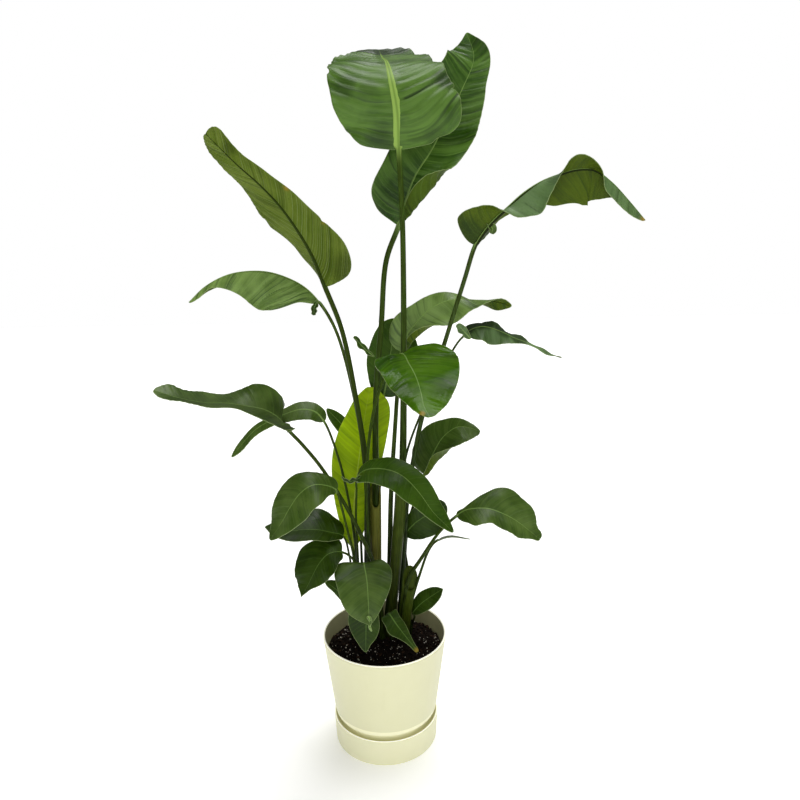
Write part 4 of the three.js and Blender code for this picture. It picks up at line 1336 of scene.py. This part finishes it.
        face=((-0.2, -0.5, 1), (-0.4, -0.6, 0.8), (-0.6, -0.6, 0.5)),
        half=((17, 35, 43, 28, 10, 2), (30, 38, 54, 43, 26, 2)), left=CUPPED, right=CUPPED,
        pleats=(1.0, 14.0),
    ),
    Leaf(
        name="leaf_low_small", foot=(-50, -6), thick=(3, 1.8), tone=Tone.DEEP, ripple=(0, 3, 0),
        lean=(-0.1, 0.35), stalk=((-50, -26, 273),),
        rib=((-68, -50, 324), (-81, -55, 346), (-93, -58, 361), (-109, -60, 375)),
        face=((-0.2, -0.7, 0.7), (-0.2, -0.7, 0.7)), half=((5, 8, 8, 7, 6, 3), (6, 11, 15, 15, 10, 4)),
    ),
    Leaf(
        name="leaf_low_front", foot=(-21, 8), thick=(4.4, 2.6), tone=Tone.PLAIN, ripple=(3, 3, 0),
        lean=(-0.22, 0.35), stalk=((-24, -14, 320), (-31, -36, 380)),
        rib=((-36, -56, 409), (-31, -84, 393), (-29, -104, 376), (-28, -120, 353), (-26, -134, 324)),
        face=((0, -0.4, 1), (0, -0.7, 0.8), (0, -0.9, 0.4)),
        half=((28, 47, 43, 29, 16, 2), (50, 58, 54, 45, 25, 2)), left=CUPPED, right=CUPPED,
    ),
    Leaf(
        name="leaf_soil_left", foot=(-30, -4), thick=(3.6, 2.2), tone=Tone.DEEP,
        stalk=((-31, -26, 272), (-34, -50, 320)),
        rib=((-34, -62, 336), (-34, -78, 308), (-35, -90, 277), (-36, -100, 250)),
        face=((0, -0.6, 0.8), (0, -0.9, 0.4)),
        half=((16, 20, 24, 25, 19, 9, 4), (20, 28, 34, 30, 21, 12, 4)),
    ),
    Leaf(
        name="leaf_soil_right", foot=(14, 10), thick=(4.4, 2.6), tone=Tone.DEEP, stalk=((8, -20, 265),),
        rib=((9, -50, 299), (24, -62, 281), (39, -74, 265), (62, -86, 238)),
        face=((0, -0.5, 1), (0.2, -0.7, 0.7)), half=((18, 15, 15, 12, 8, 5, 5), (20, 20, 23, 14, 8, 5, 5)),
        worn=(Spot(1.0, 0.0, 12.0),),
    ),
    Leaf(
        name="leaf_low_right", foot=(56, 52), thick=(3, 1.8), tone=Tone.DEEP, lean=(-0.1, 0.35),
        stalk=((62, 32, 242),), rib=((58, 16, 260), (74, 14, 281), (96, 12, 299), (118, 10, 315)),
        face=((-0.4, -0.7, 0.6), (-0.3, -0.8, 0.6)), half=((8, 16, 20, 18, 12, 3), (8, 16, 20, 18, 12, 3)),
    ),
    Leaf(
        name="leaf_mid_right", foot=(34, 64), thick=(5, 3), tone=Tone.PLAIN,
        stalk=((41, 58, 299), (51, 55, 429)),
        rib=(
            (84, 30, 551), (93, 28, 574), (104, 25, 601), (120, 21, 629), (145, 14, 649), (167, 9, 649),
            (187, 4, 642),
        ),
        face=((-0.6, -0.7, 0.4), (-0.4, -0.7, 0.6), (0, -0.6, 0.8)),
        half=((31, 50, 46, 28, 14, 6), (20, 34, 58, 52, 32, 14)), left=((5, 5), (-10,)),
        right=((10, 10, 5, 0), (130, 100, 20, 0)),
    ),
    Leaf(
        name="leaf_low_behind_right", foot=(52, 30), thick=(4, 2.6), tone=Tone.DEEP, ripple=(4, 3, 0),
        stalk=((52, 38, 318),),
        rib=((45, 38, 418), (63, 33, 446), (83, 28, 463), (104, 24, 477), (125, 20, 490)),
        face=((-0.3, -1, 0.2), (-0.2, -0.9, 0.4)), half=((8, 16, 24, 26, 20, 10), (18, 31, 40, 38, 24, 10)),
    ),
    Leaf(
        name="leaf_right", foot=(30, 20), thick=(8, 2.8), tone=Tone.PLAIN, ripple=(4, 3, 0), lean=(0, 0.35),
        stalk=((37, 4, 276), (49, -12, 352), (71, -22, 395), (109, -30, 458)),
        rib=(
            (140, -34, 490), (155, -38, 502), (178, -43, 508), (200, -48, 508), (224, -53, 500),
            (246, -56, 488), (268, -59, 471), (292, -62, 451),
        ),
        face=((-0.2, -0.5, 0.9), (0, -0.6, 0.8), (0.3, -0.6, 0.7)),
        half=((10, 6, 19, 35, 50, 53, 49, 42, 30, 18, 20), (20, 28, 40, 37, 29, 31, 32, 30, 21, 12, 10)),
        left=CUPPED, right=CUPPED,
    ),
    Leaf(
        name="leaf_right_narrow", foot=(42, 12), thick=(5, 2.6), tone=Tone.DEEP, ripple=(0, 3, 0),
        lean=(0, 0.35), stalk=((52, 2, 283), (70, -4, 352), (91, -8, 413)),
        rib=((105, -12, 431), (129, -18, 441), (167, -28, 439)), face=((-0.2, 0.3, 1), (0, 0.3, 1)),
        half=((12, 13, 10, 6, 4, 2), (14, 14, 10, 6, 4, 2)),
    ),
)


# Small torn and curled lobes at the leaves' bases and tips.
SCRAPS = (
    Leaf(
        name="curl_by_heart", foot=(0, -80), thick=(1.5, 0.9), ripple=(25, 2.5, 0.2), lean=(0.2, 0.1),
        stalk=((2, -80, 796),), rib=((-8, -80, 805), (-21, -82, 817), (-31, -83, 828), (-41, -80, 841)),
        face=((0, -1, 0.4), (0.3, -1, 0.2)), half=((3, 6, 8, 7, 5), (2, 5, 6, 6, 4)), left=((20,), (50,)),
        right=((15,), (60,)), scrap=True,
    ),
    Leaf(
        name="lobe_by_small_right", foot=(165, -8), thick=(1.2, 0.8), tone=Tone.TWISTED,
        ripple=(20, 2, 0.4), lean=(0.2, 0.1), stalk=((170, -8, 815),),
        rib=((166, -8, 821), (156, -9, 832), (148, -9, 841), (140, -8, 846)),
        face=((0, -1, 0.4), (0, -1, 0.4)), half=((4, 8, 10, 9, 6), (3, 6, 8, 8, 5)), left=((10,), (30,)),
        right=((15,), (30,)), scrap=True,
    ),
    Leaf(
        name="lobe_by_left_arch", foot=(-105, -20), thick=(1.2, 0.8), tone=Tone.DEEP, ripple=(25, 2.5, 0.1),
        lean=(0.2, 0.1), stalk=((-103, -20, 903),),
        rib=((-105, -20, 896), (-109, -21, 888), (-112, -21, 879), (-112, -20, 870)),
        face=((0, -1, 0.3), (0.2, -1, 0.2)), half=((4, 6, 7, 6, 4), (3, 5, 6, 6, 4)), left=((20,), (40,)),
        right=((10,), (40,)), scrap=True,
    ),
    Leaf(
        name="hook_by_centre_arch", foot=(-35, -60), thick=(1.4, 0.8), tone=Tone.DEEP, ripple=(30, 3, 0.3),
        lean=(0.3, 0.3), stalk=((-28, -60, 583),),
        rib=((-35, -60, 582), (-48, -62, 576), (-61, -62, 574), (-72, -60, 583)),
        face=((0, -1, 0.3), (0, -1, 0.5)), half=((4, 5, 4, 3, 2), (5, 7, 6, 4, 2)), left=((25,), (40,)),
        right=((20,), (50,)), scrap=True,
    ),
    Leaf(
        name="lobe_by_upper_right", foot=(187, -30), thick=(1.2, 0.8), tone=Tone.PLAIN, ripple=(15, 2, 0.5),
        lean=(0.2, 0.1), stalk=((184, -30, 1031),),
        rib=((188, -30, 1026), (194, -31, 1020), (199, -31, 1013), (196, -30, 1006)),
        face=((0, -1, 0.3), (0.2, -1, 0.2)), half=((3, 6, 8, 7, 5), (3, 5, 6, 6, 4)), left=((10,), (30,)),
        right=((10,), (30,)), scrap=True,
    ),
    Leaf(
        name="drip_tip_by_low_front", foot=(-29, -128), thick=(0.9, 0.6), tone=Tone.PALE,
        ripple=(15, 2, 0.5), lean=(0.1, 0.1), stalk=((-30, -127, 352),),
        rib=((-29, -129, 343), (-25, -130, 331), (-27, -129, 320), (-23, -128, 310)),
        face=((0, -1, 0.2), (0, -1, 0.2)), half=((4, 4, 2.5, 3, 1.5), (4, 3, 2.5, 2, 1.5)),
        left=((10,), (20,)), right=((10,), (20,)), scrap=True,
    ),
)


# ---------------------------------------------------------------- pot, saucer and soil
FACETS = 144
ROUNDED_FROM = 12.0
FACING_UP = 0.3
# Painted highlight of the rims: a near-white colour that glows, on the top faces of the pot's and the
# saucer's rims.
LIP_HIGHLIGHT_FINISH = PlasticFinish(colour="fdfce8", shade="f8f6dc", painted_glow=0.35)


class Moulded:
    """Base of the two turned plastic pieces, which differ in profile and finishes."""

    name: str
    rounding: float
    finishes: dict[str, PlasticFinish]

    def make(self, patterns: Patterns) -> Piece:
        """Build the piece and dress it.

        Args:
            patterns: The shared groups.

        Returns:
            The piece, which stands for the solid of the same name.
        """
        shape = turned(self.profile(), FACETS)
        soften(shape, self.rounding, ROUNDED_FROM)
        smooth_faces(shape)
        for face in shape.faces:
            face.material_index = self.look(face, face.calc_center_median().z / MM)
        materials = [finish.material(name, patterns) for name, finish in self.finishes.items()]
        piece = new_piece(f"{self.name}_moulded", shape, materials)
        enter(piece, self.name, self.name)
        return piece


@dataclass
class Pot(Moulded):
    """The pot: a foot that drops into the saucer, a rounded shoulder and a lipped rim."""

    floor: float = 3.3
    neck_radius: float = 93.0
    neck_top: float = 62.0
    body_foot_radius: float = 103.5
    body_foot: float = 76.0
    rim_radius: float = 122.5
    rim_top: float = 233.0
    wall: float = 3.5
    # Depth of the band below the rim's top whose faces get the painted highlight.
    highlight_band: float = 4.0

    name = "pot"
    rounding = 0.6
    finishes = {
        "cream_plastic": PlasticFinish(),
        # The inside: darker, painted shade of the inner wall.
        "cream_plastic_inside": PlasticFinish(colour="aeac82", shade="8c8a64"),
        "cream_plastic_lip": LIP_HIGHLIGHT_FINISH,
        # The foot in the saucer: lighter and glowing, painted light in the gap under the shoulder.
        "cream_plastic_neck": PlasticFinish(colour="f2f0cc", shade="e6e4be", painted_glow=0.05),
    }

    def profile(self) -> Profile:
        """Return the pot's profile, outside first."""
        neck, foot, rim, wall = self.neck_radius, self.body_foot_radius, self.rim_radius, self.wall
        return [
            (0, self.floor),
            (neck - 4, self.floor),
            (neck - 1.5, self.floor + 2),
            (neck, self.neck_top),
            (neck + 4, self.neck_top + 1),
            (neck + 8.5, self.neck_top + 5),
            (foot, self.body_foot),
            (rim - 0.8, self.rim_top - 9),
            (rim, self.rim_top - 7),
            (rim, self.rim_top - 1.5),
            (rim - 1.2, self.rim_top),
            (rim - 2.6, self.rim_top - 0.2),
            (rim - wall, self.rim_top - 2),
            (foot - wall, self.body_foot + 2),
            (neck - wall, self.neck_top),
            (neck - wall - 1.5, self.floor + wall),
            (0, self.floor + wall),
        ]

    def look(self, face: bmesh.types.BMFace, height: float) -> int:
        """Return the number of a face's finish, by where it looks and its height: the rim's top band gets
        the painted highlight, the inside the painted shade and the foot the painted light.
        """
        inward = faces_inward(face)
        if height > self.rim_top - self.highlight_band:
            return int(inward or face.normal.z > FACING_UP) * 2
        return 3 if height < self.body_foot else int(inward)


@dataclass
class Saucer(Moulded):
    """The saucer that the pot stands in."""

    foot_radius: float = 103.0
    rim_radius: float = 105.4
    rim_top: float = 57.0
    wall: float = 2.8
    floor: float = 3.0
    # Depth of the band below the rim's top whose upward faces get the painted highlight.
    highlight_band: float = 1.5

    name = "saucer"
    rounding = 0.5
    finishes = {
        # The outside is coloured lighter than the pot, and the inside lighter still and glowing: painted
        # light under the pot's shoulder.
        "cream_plastic_saucer": PlasticFinish(colour="ecebc6", shade="dedcb2", rough=0.45),
        "cream_plastic_saucer_lip": LIP_HIGHLIGHT_FINISH,
        "cream_plastic_saucer_inside": PlasticFinish(colour="f4f2d2", shade="e8e6c2", painted_glow=0.07),
    }

    def profile(self) -> Profile:
        """Return the saucer's profile, outside first."""
        foot, rim, wall = self.foot_radius, self.rim_radius, self.wall
        return [
            (0, 0),
            (foot - 3, 0),
            (foot - 0.8, 0.8),
            (foot, 3),
            (rim, self.rim_top - 1.2),
            (rim - 0.8, self.rim_top),
            (rim - 2, self.rim_top),
            (rim - wall, self.rim_top - 1.4),
            (foot - wall - 0.4, self.floor + 3),
            (foot - wall - 3, self.floor),
            (0, self.floor),
        ]

    def look(self, face: bmesh.types.BMFace, height: float) -> int:
        """Return the number of a face's finish, by where it looks and its height: the rim's top gets the
        painted highlight and the inside the painted light.
        """
        highlight_band = height > self.rim_top - self.highlight_band and face.normal.z > FACING_UP
        return 1 if highlight_band else int(faces_inward(face)) * 2


@dataclass
class Soil:
    """The potting soil: a crumbly mound with crumbs, bark and white grit on it."""

    pot: Pot
    top: float = SOIL_TOP
    mound: float = 12.0
    gap: float = 0.3
    rings: int = 44
    steps: int = 132
    crumbs: int = 1500
    bark: int = 187
    grit: int = 300
    reach: float = 0.985
    dip: float = 2.2
    lump: float = 1.6
    lump_size: float = 9.0
    batch: int = 80
    seed: int = 7

    def height(self, x: float, y: float) -> float:
        """Return the height of the soil at a place, with its crumbly skin."""
        far = math.hypot(x, y) / (self.pot.rim_radius - self.pot.wall)
        mound = self.mound * (1 - far * far)
        dips = math.sin(x * 0.09 + 1.3) * math.cos(y * 0.11 - 0.4) * self.dip
        spot = Vector((x / self.lump_size, y / self.lump_size, 3.1))
        lumps = noise.fractal(spot, 1.0, 2.0, 4) * self.lump
        return self.top + mound + dips + lumps

    def edge(self) -> float:
        """Return the radius at which the soil meets the pot."""
        pot, inset = self.pot, self.pot.wall + self.gap
        rise = (self.top - pot.body_foot - 2) / (pot.rim_top - pot.body_foot - 4)
        return pot.body_foot_radius - inset + (pot.rim_radius - pot.body_foot_radius) * rise

    def bed(self) -> Shape:
        """Model the soil down to the pot's floor.

        Returns:
            The closed bed in metres.
        """
        pot, edge = self.pot, self.edge()
        floor, inset = pot.floor + pot.wall + self.gap, pot.wall + self.gap
        under = [
            (0, floor),
            (pot.neck_radius - inset - 1.5, floor),
            (pot.neck_radius - inset, pot.neck_top),
            (pot.body_foot_radius - inset, pot.body_foot + 2),
            (edge - 0.1, self.top - 6),
        ]
        over = [(edge * (1 - i / self.rings), self.top) for i in range(self.rings + 1)]
        shape = turned([*under, *over], self.steps)
        for vert in shape.verts:
            if vert.co.z > (self.top - 1) * MM:
                vert.co.z = self.height(vert.co.x / MM, vert.co.y / MM) * MM
        smooth_faces(shape)
        return shape

    def scatter(self, count: int, sizes: Row, flat: float, draw: random.Random) -> Shape:
        """Scatter small lumps over the soil.

        Args:
            count: The number of lumps.
            sizes: The smallest and largest radius in millimetres.
            flat: How flat and long the lumps are, from 0 for round.
            draw: The source of chance.

        Returns:
            The lumps in metres.
        """
        whole = bmesh.new()
        for start in range(0, count, self.batch):
            part = bmesh.new()
            for _ in range(min(self.batch, count - start)):
                radius = self.edge() * math.sqrt(draw.random()) * self.reach
                turn = draw.uniform(0, FULL_TURN)
                x, y = radius * math.cos(turn), radius * math.sin(turn)
                size = draw.uniform(*sizes) * draw.uniform(0.6, 1.0)
                place = Matrix.Translation(Vector((x, y, self.height(x, y) + size * 0.25)) * MM)
                lean = 0.6 if flat else 3.0
                angles = (draw.uniform(-lean, lean), draw.uniform(-lean, lean), draw.uniform(0, 6))
                tilt = Euler(angles).to_matrix().to_4x4()
                shape = Matrix.Diagonal((1 + flat * draw.uniform(0.5, 2), 1.0, 1 / (1 + flat * 1.5), 1.0))
                made = bmesh.ops.create_icosphere(
                    part, subdivisions=1, radius=size * MM, matrix=place @ tilt @ shape
                )
                for vert in made["verts"]:
                    vert.co += Vector([draw.uniform(-0.25, 0.25) * size * MM for _ in range(3)])
            joined(whole, part)
        return whole

    def make(self, patterns: Patterns) -> list[Piece]:
        """Build the soil and what lies on it, and dress them.

        Args:
            patterns: The shared groups.

        Returns:
            The pieces.
        """
        draw = random.Random(self.seed)
        earth, crumb, bark, white = (
            finish.material(name, patterns)
            for name, finish in (
                ("potting_soil", EarthFinish(dark="080402", light="1c120b")),
                ("soil_crumbs", EarthFinish(dark="090503", light="261a12", scale=420)),
                ("bark_bits", EarthFinish(dark="1c1109", light="3e2a1b", scale=300, rough=0.8)),
                ("white_grit", EarthFinish(dark="a9a294", light="dcd8cc", scale=500, rough=0.8)),
            )
        )
        bed = new_piece("soil_bed", self.bed(), [earth])
        enter(bed, "soil", "soil")
        loose = [
            ("soil_crumbs", self.scatter(self.crumbs, (1.2, 3.6), 0.0, draw), crumb),
            ("soil_bark", self.scatter(self.bark, (2.0, 4.2), 0.8, draw), bark),
            ("soil_grit", self.scatter(self.grit, (0.9, 2.1), 0.0, draw), white),
        ]
        pieces = [bed]
        for name, shape, material in loose:
            piece = new_piece(name, shape, [material])
            enter(piece, "soil")
            pieces.append(piece)
        return pieces


# ---------------------------------------------------------------- sheaths
# How the mouth of a sheath closes inside: its shares of the width and each ring's drop in mm.
# Then how deep its foot is sunk in the soil, and the samples of a stalk that it may wrap.
MOUTH_SHARES = (1.0, 0.85, 0.6, 0.01)
MOUTH_STEP = 2.5
SUNK = 4
LOW_SAMPLES = 200


@dataclass(frozen=True)
class Sheath:
    """The old leaf bases that wrap the foot of a stem, like an onion's skin.

    leaves are the leaves whose stalks it wraps, height is how far it stands above the soil,
    thick its half width at the soil and at its mouth, and mouth how far the far side of the
    mouth stands above the near side. lap and flute_depth are the heights of its overlapping
    edge and its flutes, as shares of the half width.
    """

    name: str
    leaves: Sequence[str]
    height: float
    thick: Row
    mouth: float = 45.0
    tone: Tone = Tone.SHEATH
    sides: int = 48
    step: float = 6.0
    lap: float = 0.09
    flutes: int = 11
    flute_depth: float = 0.012

    def shape(self) -> Shape:
        """Model the sheath as a fluted tube with a slanting mouth and an overlapping edge.

        Returns:
            The closed tube in metres, on material 0.
        """
        stalks = [LeafForm(leaf).places[:LOW_SAMPLES] for leaf in LEAVES if leaf.name in self.leaves]
        turns = np.linspace(0, FULL_TURN, self.sides + 1)
        count = round(self.height / self.step)
        rings, shares = [], []
        for i in range(count + len(MOUTH_SHARES)):
            t = min(i / count, 1.0)
            beyond = max(i - count, 0)
            shrink = MOUTH_SHARES[beyond]
            level = SOIL_TOP - SUNK + t * self.height - beyond * MOUTH_STEP
            spots = [[np.interp(level, low[:, 2], low[:, axis]) for axis in (0, 1)] for low in stalks]
            first, last = np.array(spots[0]), np.array(spots[-1])
            gap = np.linalg.norm(last - first)
            along_x = (last - first) / gap if len(spots) > 1 else np.array([1.0, 0.0])
            across = np.array([-along_x[1], along_x[0]])
            radius = self.thick[0] + (self.thick[1] - self.thick[0]) * t
            lap = np.mod(turns + math.pi * (0.35 + 0.5 * t), FULL_TURN)
            flutes = self.flute_depth * np.sin(turns * self.flutes + 4 * t)
            bulge = 1 + self.lap * np.exp(-lap * 2.2) + flutes
            wide = (gap / 2 + radius * bulge) * shrink
            ring = np.zeros((len(turns), 3))
            ring[:, :2] = (
                (first + last) / 2
                + along_x * (np.cos(turns) * wide)[:, None]
                + across * (np.sin(turns) * radius * bulge * shrink)[:, None]
            )
            ring[:, 2] = level + self.mouth * t**3 * (0.5 + 0.5 * np.sin(turns))
            ring[-1] = ring[0]
            rings.append(ring)
            shares.append(-0.75 + 0.5 * t)
        values = {
            "share": np.repeat(np.array(shares)[:, None], len(turns), axis=1),
            "upper": np.zeros((len(shares), len(turns))),
        }
        return closed_tube(np.array(rings), values)

    def make(self, patterns: Patterns) -> Piece:
        """Build the sheath and dress it.

        Args:
            patterns: The shared groups.

        Returns:
            The sheath.
        """
        look = self.tone.name.lower()
        material = shared(f"leaf_stem_{look}", lambda name: self.tone.value.stem(name, patterns))
        piece = new_piece(f"{self.name}_grown", self.shape(), [material])
        enter(piece, "leaf")
        return piece


SHEATHS = (
    Sheath("sheath_main", ("leaf_top_front",), 330.0, (12.0, 11.2)),
    Sheath("sheath_left", ("leaf_top_back",), 300.0, (12.0, 11.0), tone=Tone.DRY),
    Sheath("sheath_right", ("leaf_right", "leaf_right_narrow"), 135.0, (8.0, 5.0), mouth=48.0),
)


# ---------------------------------------------------------------- studio
@dataclass
class Studio:
    """A pale floor, soft light and the camera in front of the plant."""

    eye: tuple[float, float, float] = (0.0, -1.300, 1.037)
    pitch: float = 14.2
    yaw: float = 1.65
    roll: float = -0.8
    focal_pixels: float = 727.0
    picture: float = 800.0
    sensor: float = 36.0
    floor_size: float = 6.0
    floor_shade: str = "fbfbfa"
    floor_glow: float = 0.3
    air: float = 0.16
    lamps: Sequence[tuple[str, Row, float, float]] = (
        ("key_light", (-0.35, -1.0, 0.15), 0.36, 50.0),
        ("top_light", (0.1, 0.15, 1.0), 0.85, 34.0),
        ("fill_light", (0.8, -0.9, 0.25), 0.22, 60.0),
    )

    def floor(self) -> Piece:
        """Lay the pale floor.

        Returns:
            The floor, which isn't part of the plant.
        """
        shape = bmesh.new()
        bmesh.ops.create_grid(shape, x_segments=4, y_segments=4, size=self.floor_size)
        constants = {
            "Base Color": linear(self.floor_shade),
            "Emission Color": linear(self.floor_shade),
            "Emission Strength": self.floor_glow,
            "Roughness": 0.9,
            "Specular IOR Level": 0.1,
        }
        piece = new_piece("studio_floor", shape, [Finish().start("pale_floor", constants)[0]])
        return piece

    def light(self) -> None:
        """Set up a white backdrop, a dim sky and three broad soft lights."""
        world = bpy.data.worlds.new("studio_air")
        bpy.context.scene.world = world
        world.use_nodes = True
        board = Board(world.node_tree)
        seen = board.add("LightPath").outputs["Is Camera Ray"]
        strength = board.plus(board.times(seen, 1.0 - self.air), self.air)
        back = world.node_tree.nodes["Background"]
        back.inputs["Color"].default_value = (1.0, 1.0, 1.0, 1.0)
        board.feed(back, Strength=strength)
        for name, source, strength, spread in self.lamps:
            lamp = bpy.data.lights.new(name, "SUN")
            lamp.energy = strength * math.pi
            lamp.angle = math.radians(spread)
            holder = bpy.data.objects.new(name, lamp)
            bpy.context.scene.collection.objects.link(holder)
            holder.rotation_euler = (-Vector(source)).to_track_quat("-Z", "Y").to_euler()

    def camera(self) -> Piece:
        """Place the camera at the photograph's angle.

        Returns:
            The camera.
        """
        pitch, yaw, roll = (math.radians(a) for a in (self.pitch, self.yaw, self.roll))
        flat = math.cos(pitch)
        ahead = Vector((math.sin(yaw) * flat, math.cos(yaw) * flat, -math.sin(pitch)))
        level = Vector((math.cos(yaw), -math.sin(yaw), 0.0))
        upright = level.cross(ahead)
        right = math.cos(roll) * level + math.sin(roll) * upright
        up = -math.sin(roll) * level + math.cos(roll) * upright
        data = bpy.data.cameras.new("studio_camera")
        data.sensor_width = self.sensor
        data.lens = self.focal_pixels * self.sensor / self.picture
        holder = bpy.data.objects.new("studio_camera", data)
        bpy.context.scene.collection.objects.link(holder)
        turn = Matrix((right, up, -ahead)).transposed().to_4x4()
        holder.matrix_world = Matrix.Translation(self.eye) @ turn
        bpy.context.scene.camera = holder
        return holder


def main() -> None:
    """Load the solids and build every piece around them."""
    logging.basicConfig(level=logging.INFO, format="%(name)s: %(message)s")
    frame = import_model()
    LOG.info("%d solids loaded", len(frame["nodes"]))
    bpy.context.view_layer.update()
    bpy.context.scene.view_settings.view_transform = "Standard"
    studio = Studio()
    studio.camera()
    studio.floor()
    studio.light()
    patterns = Patterns()
    pot = Pot()
    pot.make(patterns)
    Saucer().make(patterns)
    Soil(pot).make(patterns)
    for leaf in (*LEAVES, *SCRAPS):
        LeafMaker(leaf, patterns).make()
    for sheath in SHEATHS:
        sheath.make(patterns)


if __name__ == "__main__":
    main()
